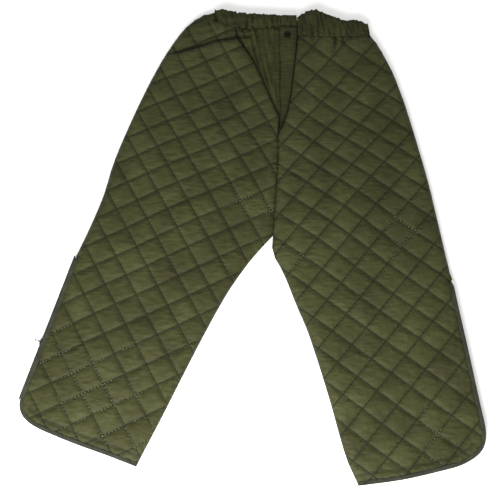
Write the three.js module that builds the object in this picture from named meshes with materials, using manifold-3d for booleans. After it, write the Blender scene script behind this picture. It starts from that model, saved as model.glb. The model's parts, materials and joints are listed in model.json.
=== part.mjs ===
// Quilted thermal liner trousers, laid flat with the front up.
// Millimetres: +X towards the wearer's left leg, +Y towards the waist, +Z up from the surface they lie on.
// "Right" and "left" are the wearer's own.
import * as THREE from "three";
import { mergeVertices } from "three/addons/utils/BufferGeometryUtils.js";
import Module from "manifold-3d";

// ---- Driving dimensions ----
const FLAT_WIDTH = 890; // across both hems, as laid
const FLAT_LENGTH = 991; // lowest hem corner to the waistband's highest point

const CLOTH = 0.8; // shell cloth, and lining cloth
const LOFT = 4.5; // wadding
const GAP = 0.3; // between pieces that touch
const LEG_ROOM = 10; // front lining to back lining, as laid
const CURVE_STEP = 24; // longest chord on a curved edge
const SHORTEST_EDGE = 4;

const BINDING_WIDTH = 6;
const BINDING_LIFT = 0.4; // back binding above the surface
const SEAM_INSET = 2; // seam tape in from the panel's edge
const SEAM_TAPE = 4;
const SEAM_END = 3; // seam tape's ends to the ends of its seam
const RISE_TAPE_WIDTH = 12;
const RISE_TAPE_THICK = 1.1;
const RISE_TAPE_START = 16; // clear of the inseam tapes at the crotch

const WAIST_SEAM = 0.6; // casing to hip panel
const CASING_WALL = 1.2;
const CASING_HEM = 4; // stitched edge each side of the elastic
const ELASTIC_CLEAR = 0.5;

const FLY_HINGE_X = 62; // the fold that the fly flap lifts about
const FLAP_CLEAR = 0.6;
const FLAP_THICK = 1.2;
const FLY_END_THICK = 3.5;
const UNDERLAP_DROP = 3; // flap's underside to the underlap's top

const SNAP_X = 76;
const SNAP_Y = 431;
const SNAP_CAP_RADIUS = 7.5;
const SNAP_CAP_HEIGHT = 2;
const SNAP_RING_RADIUS = 5;
const SNAP_RING_HEIGHT = 1.3;
const SNAP_BALL_RADIUS = 2;
const SNAP_RUNNING = 0.4; // ball to socket
const SNAP_SHANK = 1.2;

const ZIP_LENGTH = 300;
const COIL_WIDTH = 2; // outward
const COIL_HEIGHT = 1.8; // across the chain
const COIL_SPLIT = 1.6; // room for the slider's post between the coils
const ZIP_TAPE = 0.8;
const ZIP_TAPE_REACH = 17; // from the chain's middle to the tape's sewn edge
const ZIP_RUNNING = 0.4; // slider to coil
const STOP_LENGTH = 2.7;
const SLIDER_LENGTH = 12;
const SLIDER_PLATE = 1;
const PULL_THICK = 1.2;
const PULL_PIN = 1.2;
const PULL_HALF_WIDTH = 3;
const PULL_LENGTH = 10;
const BAIL_BAR = 0.9;
const BAIL_WINDOW = 2.6;
const BAIL_THICK = 1.2;
const RING_RADIUS = 4;
const RING_WIRE = 0.55;
const RING_HOLE = 1.5;
const RIGHT_CHAIN_OUT = 3; // the right zip's chain stands outside the panel's edge
const LEFT_CHAIN_OUT = -12; // the left zip is tucked under it
const RIGHT_SLIDER_UP = 118; // slider's height above the zip's lower end
const LEFT_SLIDER_UP = 118;
const RIGHT_PULL_TURN = 0; // degrees from straight out
const LEFT_PULL_TURN = 70;

// ---- Levels, from the surface upwards ----
const PANEL_THICK = 2 * CLOTH + LOFT + 2 * GAP;
const backPlies = {
  shell: [0, CLOTH],
  wadding: [CLOTH + GAP, CLOTH + GAP + LOFT],
  lining: [PANEL_THICK - CLOTH, PANEL_THICK],
};
const FRONT_LOW = PANEL_THICK + LEG_ROOM;
const FRONT_HIGH = FRONT_LOW + PANEL_THICK;
const frontPlies = {
  lining: [FRONT_LOW, FRONT_LOW + CLOTH],
  wadding: [FRONT_LOW + CLOTH + GAP, FRONT_LOW + CLOTH + GAP + LOFT],
  shell: [FRONT_HIGH - CLOTH, FRONT_HIGH],
};
const roomLow = PANEL_THICK + GAP;
const roomHigh = FRONT_LOW - GAP;
const flapLow = FRONT_HIGH - CLOTH;
const flapHigh = flapLow + FLAP_THICK;
const underlapHigh = flapLow - UNDERLAP_DROP;
const underlapLow = underlapHigh - FLAP_THICK;

// ---- Materials ----
const cloth = (color) => new THREE.MeshStandardMaterial({ color, roughness: 0.8, metalness: 0 });
const finish = {
  shell: cloth(0x5a5c3c),
  wadding: cloth(0xd8d6cc),
  lining: cloth(0x4c5136),
  plain: cloth(0x4b4e31),
  casing: cloth(0x3c3e27),
  binding: cloth(0x59603f),
  tape: cloth(0x4a4f3a),
  elastic: cloth(0xb9b8ae),
  coil: new THREE.MeshStandardMaterial({ color: 0x55584a, roughness: 0.5, metalness: 0 }),
  metal: new THREE.MeshStandardMaterial({ color: 0x7c8070, roughness: 0.4, metalness: 0.9 }),
  snap: new THREE.MeshStandardMaterial({ color: 0x14140f, roughness: 0.35, metalness: 0.4 }),
};

// ---- Shape helpers ----
const wasm = await Module();
wasm.setup();

const scaleX = FLAT_WIDTH / 890;
const scaleY = FLAT_LENGTH / 991;
const at = (x, y) => new THREE.Vector2(x * scaleX, y * scaleY);
const line = (...pairs) => pairs.map(([x, y]) => at(x, y));

// A smooth edge through the given points.
function curve(...pairs) {
  const spline = new THREE.SplineCurve(line(...pairs));
  return spline.getSpacedPoints(Math.ceil(spline.getLength() / CURVE_STEP));
}

// The same edge moved to the left of its direction of travel.
function offset(points, distance) {
  return points.map((p, i) => {
    const before = points[Math.max(i - 1, 0)];
    const after = points[Math.min(i + 1, points.length - 1)];
    const along = after.clone().sub(before).normalize();
    return new THREE.Vector2(p.x - along.y * distance, p.y + along.x * distance);
  });
}

// An edge parted in two, at a distance along it. Points too near the cut are dropped.
function parted(points, distance) {
  let rest = distance;
  let i = 0;
  while (rest > points[i].distanceTo(points[i + 1])) {
    rest -= points[i].distanceTo(points[i + 1]);
    i += 1;
  }
  const cutPoint = points[i + 1].clone().sub(points[i]).setLength(rest).add(points[i]);
  const away = (p) => p.distanceTo(cutPoint) > SHORTEST_EDGE;
  const first = [...points.slice(0, i + 1).filter(away), cutPoint];
  return [first, [cutPoint, ...points.slice(i + 1).filter(away)]];
}

const lengthOf = (points) =>
  points.slice(1).reduce((sum, p, i) => sum + p.distanceTo(points[i]), 0);

// The same edge without a stretch at its start and one at its end.
function trimmed(points, start, end) {
  const rest = start ? parted(points, start)[1] : points;
  return end ? parted(rest, lengthOf(rest) - end)[0] : rest;
}

// A closed outline between two lines that lie to the left of an edge.
const strip = (edge, near, far) => [...offset(edge, near), ...offset(edge, far).reverse()];

const joinEdges = (...edges) =>
  edges.flat().filter((p, i, all) => i === 0 || p.distanceTo(all[i - 1]) > 0.01);

function extrude(outline, [low, high], holes = []) {
  const shape = new THREE.Shape(outline);
  shape.holes.push(...holes);
  const geometry = new THREE.ExtrudeGeometry(shape, { depth: high - low, bevelEnabled: false });
  return geometry.translate(0, 0, low);
}

// A section in Y and Z, extruded along X.
const ALONG_X = new THREE.Matrix4().makeBasis(
  new THREE.Vector3(0, 1, 0),
  new THREE.Vector3(0, 0, 1),
  new THREE.Vector3(1, 0, 0),
);
const bar = (section, [low, high]) => extrude(section, [low, high]).applyMatrix4(ALONG_X);

const rectangle = (x0, x1, y0, y1) => [
  new THREE.Vector2(x0, y0),
  new THREE.Vector2(x1, y0),
  new THREE.Vector2(x1, y1),
  new THREE.Vector2(x0, y1),
];

function circleHole(x, y, radius) {
  return new THREE.Path().absarc(x, y, radius, 0, 2 * Math.PI, true);
}

function solid(geometry) {
  const plain = geometry.clone().deleteAttribute("normal").deleteAttribute("uv");
  const merged = mergeVertices(plain, 1e-4);
  return new wasm.Manifold(
    new wasm.Mesh({
      numProp: 3,
      vertProperties: merged.attributes.position.array,
      triVerts: new Uint32Array(merged.index.array),
    }),
  );
}

function geometryOf(body) {
  const { vertProperties, triVerts } = body.getMesh();
  const geometry = new THREE.BufferGeometry();
  geometry.setAttribute("position", new THREE.BufferAttribute(vertProperties, 3));
  return geometry.setIndex(new THREE.BufferAttribute(triVerts, 1));
}

const cut = (a, b) => geometryOf(solid(a).subtract(solid(b)));
const fuse = (...all) => geometryOf(all.map(solid).reduce((sum, next) => sum.add(next)));

const trousers = new THREE.Group();

function add(name, geometry, material, group = trousers) {
  const mesh = new THREE.Mesh(geometry, material);
  mesh.name = name;
  group.add(mesh);
  return mesh;
}

// ---- Edges of the two legs, each walked counterclockwise so that its inside is on the left ----
const crotch = [43, -8];

const rightOuter = joinEdges(
  curve([-78, 488], [-104, 482], [-131, 463], [-156, 432], [-189, 376], [-225, 299],
    [-261, 209], [-284, 143], [-300, 79], [-323, 15], [-349, -47]),
  line([-444, -335]),
);
const [rightSide, rightZipEdge] = parted(rightOuter, lengthOf(rightOuter) - ZIP_LENGTH);
const right = {
  side: rightSide,
  zipEdge: rightZipEdge,
  hem: joinEdges(
    rightZipEdge,
    curve([-444, -335], [-445, -350], [-441, -362], [-432, -373], [-413, -386], [-393, -395]),
    curve([-393, -395], [-335, -418], [-277, -438], [-218, -460]),
  ),
  inseam: curve([-218, -460], [-169, -363], [-132, -287], [-93, -209], [-50, -129], [-9, -68],
    [25, -27], crotch),
};

const leftOuter = joinEdges(
  line([445, -395]),
  curve([398, -105], [384, -27], [373, 36], [357, 122], [326, 254], [307, 321], [292, 363],
    [269, 411], [252, 437]),
);
const [leftZipEdge, leftSide] = parted(leftOuter, ZIP_LENGTH);
const left = {
  side: leftSide,
  zipEdge: leftZipEdge,
  hem: joinEdges(
    curve([201, -495], [279, -485], [336, -473], [393, -459]),
    curve([393, -459], [412, -449], [432, -436], [443, -416], [445, -395]),
    leftZipEdge,
  ),
  inseam: curve(crotch, [41, -31], [47, -54], [65, -88], [88, -149], [112, -209], [147, -325],
    [177, -438], [201, -495]),
};

// ---- Waist lines, each from the wearer's right to left ----
const waist = {
  frontRight: {
    low: curve([-76, 470], [-35, 452], [8, 450], [61, 450]),
    high: curve([-76, 496], [-29, 486], [14, 482], [61, 479]),
  },
  frontLeft: {
    low: curve([99, 435], [140, 431], [199, 431], [250, 432]),
    high: curve([99, 475], [110, 480], [120, 491], [134, 494], [151, 486], [177, 475],
      [202, 466], [224, 468], [245, 463]),
  },
  back: {
    low: curve([-76, 470], [-35, 452], [8, 450], [80, 440], [140, 431], [199, 431], [250, 432]),
    high: curve([-76, 496], [-29, 486], [14, 482], [61, 479], [99, 475], [134, 490],
      [177, 475], [224, 467], [245, 463]),
  },
};

// ---- Centre lines, from the crotch upwards ----
const frontRise = curve(crotch, [48, 57], [54, 143], [55, 207]);
const backRise = curve(crotch, [50, 120], [62, 280], [80, 440]);
const gatherFold = line([55, 207], [57, 247], [39, 287], [22, 333], [3, 376], [-18, 409],
  [-31, 425], [-34, 450]);
const flyEdge = line([55, 207], [66, 231], [76, 262], [83, 300], [89, 349], [94, 395], [97, 434]);

// The hip panel stops short of the casing by the waist seam, and short of a centre line by half a gap.
const under = (edge) => offset(edge, -WAIST_SEAM);
const before = (edge) => offset(edge, GAP / 2);
const after = (edge) => offset(edge, -GAP / 2);

// Only the part of the back waist line on one side of the back rise.
const riseTop = backRise[backRise.length - 1];
const backWaist = {
  right: under(waist.back.low).filter((p) => p.x < riseTop.x - 1),
  left: under(waist.back.low).filter((p) => p.x > riseTop.x + 1),
};
const lowered = (p) => new THREE.Vector2(p.x, p.y - WAIST_SEAM);
const inset = (edge) => offset(edge, BINDING_WIDTH + GAP);

const frontRightWaist = under(waist.frontRight.low).filter((p) => p.x > gatherFold.at(-1).x + 1);

const panels = {
  right_front: joinEdges(
    right.side,
    inset(right.hem),
    right.inseam.slice(0, -1),
    before(frontRise),
    before(gatherFold.slice(1, -1)),
    [lowered(waistPoint(waist.frontRight.low, gatherFold.at(-1).x - GAP))],
    under(waist.frontRight.low).filter((p) => p.x < gatherFold.at(-1).x - 1).reverse(),
  ),
  left_front: joinEdges(
    after(frontRise.slice(1)).reverse(),
    left.inseam,
    inset(left.hem),
    left.side,
    under(waist.frontLeft.low).reverse(),
    offset(flyEdge.slice(1), -GAP - FLAP_CLEAR).reverse(),
  ),
  right_back: joinEdges(
    right.side,
    inset(right.hem),
    right.inseam.slice(0, -1),
    before(backRise.slice(0, -1)),
    [lowered(riseTop).add(new THREE.Vector2(-GAP / 2, 0))],
    backWaist.right.reverse(),
  ),
  left_back: joinEdges(
    after(backRise.slice(1, -1)).reverse(),
    left.inseam,
    inset(left.hem),
    left.side,
    backWaist.left.reverse(),
    [lowered(riseTop).add(new THREE.Vector2(GAP / 2, 0))],
  ),
};

// The point of a waist line at a given X.
function waistPoint(edge, x) {
  const i = edge.findIndex((p) => p.x > x);
  const a = edge[i - 1];
  const b = edge[i];
  return a.clone().lerp(b, (x - a.x) / (b.x - a.x));
}

for (const [name, outline] of Object.entries(panels)) {
  const plies = name.endsWith("front") ? frontPlies : backPlies;
  for (const [ply, level] of Object.entries(plies)) {
    add(`${name}_${ply}`, extrude(outline, level), finish[ply]);
  }
}

// ---- Binding, seam tapes and rise tapes ----
for (const [side, leg] of Object.entries({ right, left })) {
  const rim = strip(trimmed(leg.hem, GAP, GAP), 0, BINDING_WIDTH);
  add(`${side}_front_binding`, extrude(rim, [FRONT_LOW, FRONT_HIGH]), finish.binding);
  add(`${side}_back_binding`, extrude(rim, [BINDING_LIFT, PANEL_THICK]), finish.binding);
  for (const seam of ["side", "inseam"]) {
    const tape = strip(trimmed(leg[seam], SEAM_END, SEAM_END), SEAM_INSET, SEAM_INSET + SEAM_TAPE);
    add(`${side}_${seam}_seam_tape`, extrude(tape, [roomLow, roomHigh]), finish.tape);
  }
}

const riseTape = (edge) => {
  const clear = edge.filter((p) => p.distanceTo(edge[0]) > RISE_TAPE_START);
  return strip(clear, -RISE_TAPE_WIDTH / 2, RISE_TAPE_WIDTH / 2);
};
add("front_rise_tape", extrude(riseTape(frontRise), [roomHigh - RISE_TAPE_THICK, roomHigh]), finish.tape);
add("back_rise_tape", extrude(riseTape(backRise), [roomLow, roomLow + RISE_TAPE_THICK]), finish.tape);

// ---- Waistband: a casing folded round an elastic ----
function band({ low, high }, lowHem, highHem) {
  return [...offset(low, lowHem), ...offset(high, -highHem).reverse()];
}

// The same band run on past both its ends, to cut a tunnel that is open there.
function longBand({ low, high }, hem) {
  const past = (edge) => {
    const first = edge[0].clone().sub(edge[1]).setLength(BINDING_WIDTH).add(edge[0]);
    const last = edge.at(-1).clone().sub(edge.at(-2)).setLength(BINDING_WIDTH).add(edge.at(-1));
    return [first, ...edge, last];
  };
  return band({ low: past(low), high: past(high) }, hem, hem);
}

function waistband(place, edges, [low, high]) {
  const tunnel = extrude(longBand(edges, CASING_HEM), [low + CASING_WALL, high - CASING_WALL]);
  add(`waistband_${place}`, cut(extrude(band(edges, 0, 0), [low, high]), tunnel), finish.casing);
  const clear = CASING_WALL + ELASTIC_CLEAR;
  const elastic = band(edges, CASING_HEM + ELASTIC_CLEAR, CASING_HEM + ELASTIC_CLEAR);
  add(`waist_elastic_${place}`, extrude(elastic, [low + clear, high - clear]), finish.elastic);
}
waistband("front_right", waist.frontRight, [FRONT_LOW, FRONT_HIGH]);
waistband("front_left", waist.frontLeft, [FRONT_LOW, FRONT_HIGH]);
waistband("back", waist.back, [0, PANEL_THICK]);

// ---- Fly: gathered facing, flap that lifts, and the underlap it closes on ----
const hingeX = FLY_HINGE_X * scaleX;
const snap = at(SNAP_X, SNAP_Y);
const flyTop = waist.frontRight.high.at(-1).y;
const seamY = waist.frontRight.low.at(-1).y;

const facing = joinEdges(
  gatherFold.slice(1, -1).map((p) => new THREE.Vector2(p.x + 2 * GAP, p.y)),
  [waistPoint(waist.frontRight.low, gatherFold.at(-1).x + GAP)].map(lowered),
  frontRightWaist,
  [new THREE.Vector2(hingeX - FLAP_CLEAR, seamY - WAIST_SEAM)],
  [new THREE.Vector2(hingeX - FLAP_CLEAR, flyEdge[1].y)],
).reverse();
add("fly_gathered_facing", extrude(facing, [frontPlies.wadding[0], FRONT_HIGH]), finish.plain);

const flapTop = seamY - WAIST_SEAM;
const flapEdge = [...flyEdge.slice(1), new THREE.Vector2(flyEdge.at(-1).x, flapTop)];
const flapOutline = [
  ...flapEdge,
  new THREE.Vector2(hingeX + FLAP_CLEAR, flapTop),
  new THREE.Vector2(hingeX + FLAP_CLEAR, flapEdge[0].y),
];
add("fly_flap",
  extrude(flapOutline, [flapLow, flapHigh], [circleHole(snap.x, snap.y, SNAP_SHANK + SNAP_RUNNING)]),
  finish.plain);

const flyEndOutline = [
  new THREE.Vector2(hingeX + FLAP_CLEAR, seamY),
  new THREE.Vector2(flapEdge.at(-1).x, seamY),
  new THREE.Vector2(flapEdge.at(-1).x, flyTop),
  new THREE.Vector2(hingeX + FLAP_CLEAR, flyTop),
];
add("waistband_fly_end", extrude(flyEndOutline, [FRONT_HIGH - FLY_END_THICK, flapHigh]), finish.casing);

const underlapOutline = [
  ...flapEdge,
  new THREE.Vector2(flapEdge.at(-1).x, flyTop - CASING_HEM),
  new THREE.Vector2(hingeX + FLAP_CLEAR, flyTop - CASING_HEM),
  new THREE.Vector2(hingeX + FLAP_CLEAR, flapEdge[0].y),
];
add("fly_underlap",
  extrude(underlapOutline, [underlapLow, underlapHigh],
    [circleHole(snap.x, snap.y, SNAP_SHANK + SNAP_RUNNING)]),
  finish.plain);

// ---- Snap fastener: cap and socket on the flap, stud and post on the underlap ----
function turned(...profile) {
  const points = profile.map(([r, z]) => new THREE.Vector2(r, z));
  const lathe = new THREE.LatheGeometry(points, 24);
  return lathe.rotateX(Math.PI / 2).translate(snap.x, snap.y, 0);
}

const capLow = flapHigh + GAP;
const capHigh = capLow + SNAP_CAP_HEIGHT;
add("snap_cap", turned(
  [0, flapLow + GAP], [SNAP_SHANK, flapLow + GAP], [SNAP_SHANK, capLow],
  [SNAP_CAP_RADIUS, capLow], [SNAP_CAP_RADIUS, capLow + SNAP_CAP_HEIGHT * 0.4],
  [SNAP_CAP_RADIUS * 0.8, capHigh - SNAP_CAP_HEIGHT * 0.15], [SNAP_CAP_RADIUS * 0.4, capHigh],
  [0, capHigh]), finish.snap);

const socketHigh = flapLow - GAP;
const socketLow = socketHigh - SNAP_RING_HEIGHT;
const socketBore = SNAP_BALL_RADIUS + SNAP_RUNNING;
add("snap_socket", turned(
  [socketBore, socketLow], [SNAP_RING_RADIUS, socketLow], [SNAP_RING_RADIUS, socketHigh],
  [socketBore, socketHigh], [socketBore, socketLow]), finish.metal);

const studLow = underlapHigh + GAP;
const studFlange = socketLow - SNAP_RUNNING;
add("snap_stud", turned(
  [0, studLow], [SNAP_RING_RADIUS, studLow], [SNAP_RING_RADIUS, studFlange],
  [SNAP_BALL_RADIUS, studFlange], [SNAP_BALL_RADIUS, socketHigh - GAP],
  [0, socketHigh - GAP]), finish.metal);

const postHigh = underlapLow - GAP;
add("snap_post", turned(
  [0, postHigh - CLOTH], [SNAP_RING_RADIUS, postHigh - CLOTH], [SNAP_RING_RADIUS, postHigh],
  [SNAP_SHANK, postHigh], [SNAP_SHANK, studLow - GAP], [0, studLow - GAP]), finish.metal);

// ---- Side zips ----
// In a zip's own group X runs along the chain, Y points into the leg and Z is up.
const chainZ = (PANEL_THICK + FRONT_LOW) / 2;
const coilNear = COIL_SPLIT / 2;
const coilFar = coilNear + COIL_HEIGHT;
const tapeIn = chainZ + coilFar + GAP;
const stripHigh = roomHigh - GAP;
const plateIn = COIL_WIDTH / 2 + ZIP_RUNNING;
const plateOut = plateIn + SLIDER_PLATE;
const pinY = -(plateOut + BAIL_WINDOW / 2);

const mirrorInChain = (points) =>
  points.map((p) => new THREE.Vector2(p.x, 2 * chainZ - p.y)).reverse();

const tapeSection = [
  new THREE.Vector2(-ZIP_TAPE / 2, tapeIn),
  new THREE.Vector2(ZIP_TAPE / 2, tapeIn),
  new THREE.Vector2(ZIP_TAPE / 2, stripHigh - ZIP_TAPE),
  new THREE.Vector2(ZIP_TAPE_REACH, stripHigh - ZIP_TAPE),
  new THREE.Vector2(ZIP_TAPE_REACH, stripHigh),
  new THREE.Vector2(-ZIP_TAPE / 2, stripHigh),
];
const coilSection = rectangle(-COIL_WIDTH / 2, COIL_WIDTH / 2, chainZ + coilNear, chainZ + coilFar);

function sliderGeometry() {
  const reach = coilFar + GAP;
  const post = coilNear - ZIP_RUNNING;
  const section = [
    new THREE.Vector2(-plateOut, chainZ - reach),
    new THREE.Vector2(-plateIn, chainZ - reach),
    new THREE.Vector2(-plateIn, chainZ - post),
    new THREE.Vector2(plateIn, chainZ - post),
    new THREE.Vector2(plateIn, chainZ - reach),
    new THREE.Vector2(plateOut, chainZ - reach),
    new THREE.Vector2(plateOut, chainZ + reach),
    new THREE.Vector2(plateIn, chainZ + reach),
    new THREE.Vector2(plateIn, chainZ + post),
    new THREE.Vector2(-plateIn, chainZ + post),
    new THREE.Vector2(-plateIn, chainZ + reach),
    new THREE.Vector2(-plateOut, chainZ + reach),
  ];
  const body = bar(section, [-SLIDER_LENGTH / 2, SLIDER_LENGTH / 2]);
  const window = BAIL_WINDOW / 2;
  const outer = window + BAIL_BAR;
  const bail = rectangle(-outer, outer, pinY - outer, -plateOut + SLIDER_PLATE / 2);
  const hole = new THREE.Path(rectangle(-window, window, pinY - window, pinY + window).reverse());
  const arch = extrude(bail, [chainZ - BAIL_THICK / 2, chainZ + BAIL_THICK / 2], [hole]);
  return fuse(body, arch);
}

// The pull stands out along -Y from its pin, which is the group's origin.
function pullGeometry() {
  const pin = PULL_PIN / 2;
  const clear = BAIL_THICK / 2 + ZIP_RUNNING;
  const windowEnd = Math.hypot(BAIL_WINDOW / 2 + BAIL_BAR, BAIL_WINDOW / 2 + BAIL_BAR) + GAP;
  const tab = rectangle(-PULL_LENGTH, pin, -PULL_HALF_WIDTH, PULL_HALF_WIDTH);
  const window = new THREE.Path(rectangle(-windowEnd, -pin, -clear, clear).reverse());
  const ringHole = circleHole(-PULL_LENGTH + RING_HOLE + RING_WIRE, 0, RING_HOLE);
  return plate(tab, PULL_THICK, [window, ringHole]);
}

// A plate drawn in Y and Z, of the given thickness about X = 0.
function plate(outline, thick, holes) {
  return extrude(outline, [-thick / 2, thick / 2], holes).applyMatrix4(ALONG_X);
}

function ringGeometry() {
  const ring = new THREE.TorusGeometry(RING_RADIUS, RING_WIRE, 8, 24);
  const middle = -PULL_LENGTH + RING_HOLE + RING_WIRE - RING_RADIUS;
  return ring.translate(0, middle, 0);
}

// The chain runs straight between the ends of the leg's zip edge, in the order that the edge is walked.
function zip(side, edge, chainOut, sliderAt, pullRest) {
  const from = edge[0];
  const to = edge.at(-1);
  const length = from.distanceTo(to);
  const group = new THREE.Group();
  const along = to.clone().sub(from).normalize();
  group.rotation.z = Math.atan2(along.y, along.x);
  group.position.set(from.x + along.y * chainOut, from.y - along.x * chainOut, 0);
  trousers.add(group);

  const coilRun = [STOP_LENGTH + GAP, length - STOP_LENGTH - GAP];
  for (const [place, fix] of Object.entries({ front: (s) => s, back: mirrorInChain })) {
    add(`${side}_zip_${place}_tape`, bar(fix(tapeSection), [0, length]), finish.tape, group);
    add(`${side}_zip_${place}_coil`, bar(fix(coilSection), coilRun), finish.coil, group);
  }
  const stop = rectangle(-COIL_WIDTH / 2, COIL_WIDTH / 2, chainZ - coilFar, chainZ + coilFar);
  add(`${side}_zip_first_stop`, bar(stop, [0, STOP_LENGTH]), finish.metal, group);
  add(`${side}_zip_last_stop`, bar(stop, [length - STOP_LENGTH, length]), finish.metal, group);

  const slider = new THREE.Group();
  slider.position.x = sliderAt(length);
  group.add(slider);
  add(`${side}_zip_slider`, sliderGeometry(), finish.metal, slider);

  const pull = new THREE.Group();
  pull.position.set(0, pinY, chainZ);
  pull.rotation.z = THREE.MathUtils.degToRad(pullRest);
  slider.add(pull);
  add(`${side}_zip_pull`, pullGeometry(), finish.metal, pull);
  add(`${side}_zip_pull_ring`, ringGeometry(), finish.metal, pull);
}
zip("right", right.zipEdge, RIGHT_CHAIN_OUT, (length) => length - RIGHT_SLIDER_UP,
  RIGHT_PULL_TURN);
zip("left", left.zipEdge, LEFT_CHAIN_OUT, () => LEFT_SLIDER_UP, LEFT_PULL_TURN);

export default trousers;
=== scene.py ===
# %% [markdown]
# # Quilted liner trousers
# Thermal liner trousers, laid flat with the front up. Each leg is a front and a back panel of quilted
# cloth: nylon taffeta outside, wadding in the middle and a taffeta lining, sewn through in diamonds.
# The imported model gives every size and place. This script gives the cloth its puffs, gathers, thread
# and finish. All lengths below are in millimetres until a mesh is made.

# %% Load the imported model
import json
import math
from functools import partial
import bpy
import numpy as np
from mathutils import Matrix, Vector
from mathutils.geometry import delaunay_2d_cdt


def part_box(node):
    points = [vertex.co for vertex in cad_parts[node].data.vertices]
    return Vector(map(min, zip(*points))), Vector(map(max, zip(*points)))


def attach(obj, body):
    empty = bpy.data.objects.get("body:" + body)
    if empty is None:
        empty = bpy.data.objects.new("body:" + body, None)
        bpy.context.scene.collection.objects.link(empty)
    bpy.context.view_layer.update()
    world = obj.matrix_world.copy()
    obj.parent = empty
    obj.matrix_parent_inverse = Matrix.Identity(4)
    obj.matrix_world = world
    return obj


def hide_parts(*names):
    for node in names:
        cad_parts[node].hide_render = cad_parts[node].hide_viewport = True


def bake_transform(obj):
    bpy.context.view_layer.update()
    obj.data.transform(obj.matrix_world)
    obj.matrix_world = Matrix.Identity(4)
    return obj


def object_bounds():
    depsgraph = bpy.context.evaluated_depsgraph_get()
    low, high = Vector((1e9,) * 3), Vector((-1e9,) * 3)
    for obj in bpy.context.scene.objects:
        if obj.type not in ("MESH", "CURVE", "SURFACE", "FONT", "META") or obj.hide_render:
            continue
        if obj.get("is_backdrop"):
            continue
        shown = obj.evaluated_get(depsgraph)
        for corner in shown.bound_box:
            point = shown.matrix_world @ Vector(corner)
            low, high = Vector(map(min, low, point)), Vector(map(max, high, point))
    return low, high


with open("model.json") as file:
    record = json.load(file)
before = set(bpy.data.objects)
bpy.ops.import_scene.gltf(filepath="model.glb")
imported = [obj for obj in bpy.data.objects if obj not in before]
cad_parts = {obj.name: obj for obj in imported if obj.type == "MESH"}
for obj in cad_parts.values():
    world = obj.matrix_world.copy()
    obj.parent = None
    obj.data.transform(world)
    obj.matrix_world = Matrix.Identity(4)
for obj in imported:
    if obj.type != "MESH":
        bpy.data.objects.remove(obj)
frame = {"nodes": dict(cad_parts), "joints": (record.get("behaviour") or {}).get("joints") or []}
cad_low, cad_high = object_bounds()
nodes = frame["nodes"]
MM = 0.001
print("nodes:", len(nodes), "box in mm:", [round(c / MM) for c in (*cad_low, *cad_high)])

# %% [markdown]
# ## Camera first
# The trousers are seen from almost straight above, from a little towards the hems. A long lens keeps the
# legs from spreading. The camera is made first, so that everything after it can be judged through it.

# %% Camera
TILT = math.radians(15)
camera_data = bpy.data.cameras.new("long_lens")
camera_data.lens = 68.4
camera_data.sensor_width = 36
camera = bpy.data.objects.new("camera", camera_data)
target = Vector((-0.003, -0.037, 0.012))
camera.location = target + 1.9 * Vector((0, -math.sin(TILT), math.cos(TILT)))
camera.rotation_euler = (TILT, 0, 0)
bpy.context.scene.collection.objects.link(camera)
bpy.context.scene.camera = camera
print("camera height in mm:", round(camera.location.z / MM))

# %% [markdown]
# ## Points and lines
# Every cloth piece starts from an outline in plan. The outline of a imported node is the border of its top
# face, so it is read from the mesh: an edge with no partner running the other way lies on the border.

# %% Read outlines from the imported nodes
def closed(line):
    return np.vstack([line, line[:1]])


def outline_of(name):
    """A node's outline in plan, counterclockwise, as an array of points."""
    mesh = nodes[name].data
    top = max(v.co.z for v in mesh.vertices) - 1e-4
    key = {v.index: (round(v.co.x / MM, 3), round(v.co.y / MM, 3)) for v in mesh.vertices}
    edges = set()
    for face in mesh.polygons:
        if all(mesh.vertices[i].co.z > top for i in face.vertices):
            ring = [key[i] for i in face.vertices]
            edges.update(zip(ring, ring[1:] + ring[:1]))
    border = {a: b for a, b in edges if (b, a) not in edges}
    loop = [min(border)]
    while border[loop[-1]] != loop[0]:
        loop.append(border[loop[-1]])
    return np.array(loop)


def lengths(line):
    return np.linalg.norm(np.diff(line, axis=0), axis=1)


def distance_to(points, line):
    """From each point to the nearest place on an open line."""
    best = np.full(len(points), 1e9)
    for a, b in zip(line[:-1], line[1:]):
        along = b - a
        t = np.clip((points - a) @ along / max(along @ along, 1e-9), 0, 1)
        best = np.minimum(best, np.linalg.norm(points - a - t[:, None] * along, axis=1))
    return best


def stepped(line, step):
    """The same line with points no further apart than step."""
    out = []
    for a, b in zip(line[:-1], line[1:]):
        count = max(1, math.ceil(np.linalg.norm(b - a) / step - 1e-6))
        out.extend(a + (b - a) * i / count for i in range(count))
    return np.array([*out, line[-1]])


def evenly(line, step):
    """The same line, with points evenly spaced along the whole of it."""
    run = np.concatenate([[0], np.cumsum(lengths(line))])
    places = np.linspace(0, run[-1], max(2, round(run[-1] / step) + 1))
    return np.column_stack([np.interp(places, run, line[:, k]) for k in range(line.shape[1])])


def eased(line, passes):
    """The same line with its corners rounded off and its ends kept."""
    line = line.copy()
    for _ in range(passes):
        line[1:-1] = (line[:-2] + 2 * line[1:-1] + line[2:]) / 4
    return line


def left_of(line):
    """The unit direction to the left of a line, at each of its points."""
    along = np.gradient(line, axis=0)
    along /= np.linalg.norm(along, axis=1)[:, None]
    return np.column_stack([-along[:, 1], along[:, 0]])


def inside(points, outline):
    x, y = points.T
    result = np.zeros(len(points), bool)
    for (x0, y0), (x1, y1) in zip(outline, np.roll(outline, -1, 0)):
        if y0 != y1:
            result ^= ((y0 > y) != (y1 > y)) & (x < (x1 - x0) * (y - y0) / (y1 - y0) + x0)
    return result


def run_along(outline, other, reach):
    """The longest run of a closed outline that lies within reach of another line."""
    near = distance_to(outline, other) < reach
    ring = np.roll(np.arange(len(outline)), -int(np.flatnonzero(~near)[0]))
    runs, run = [], []
    for i in ring:
        if near[i]:
            run.append(i)
        else:
            runs.append(run)
            run = []
    return outline[max([*runs, run], key=len)]


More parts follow.
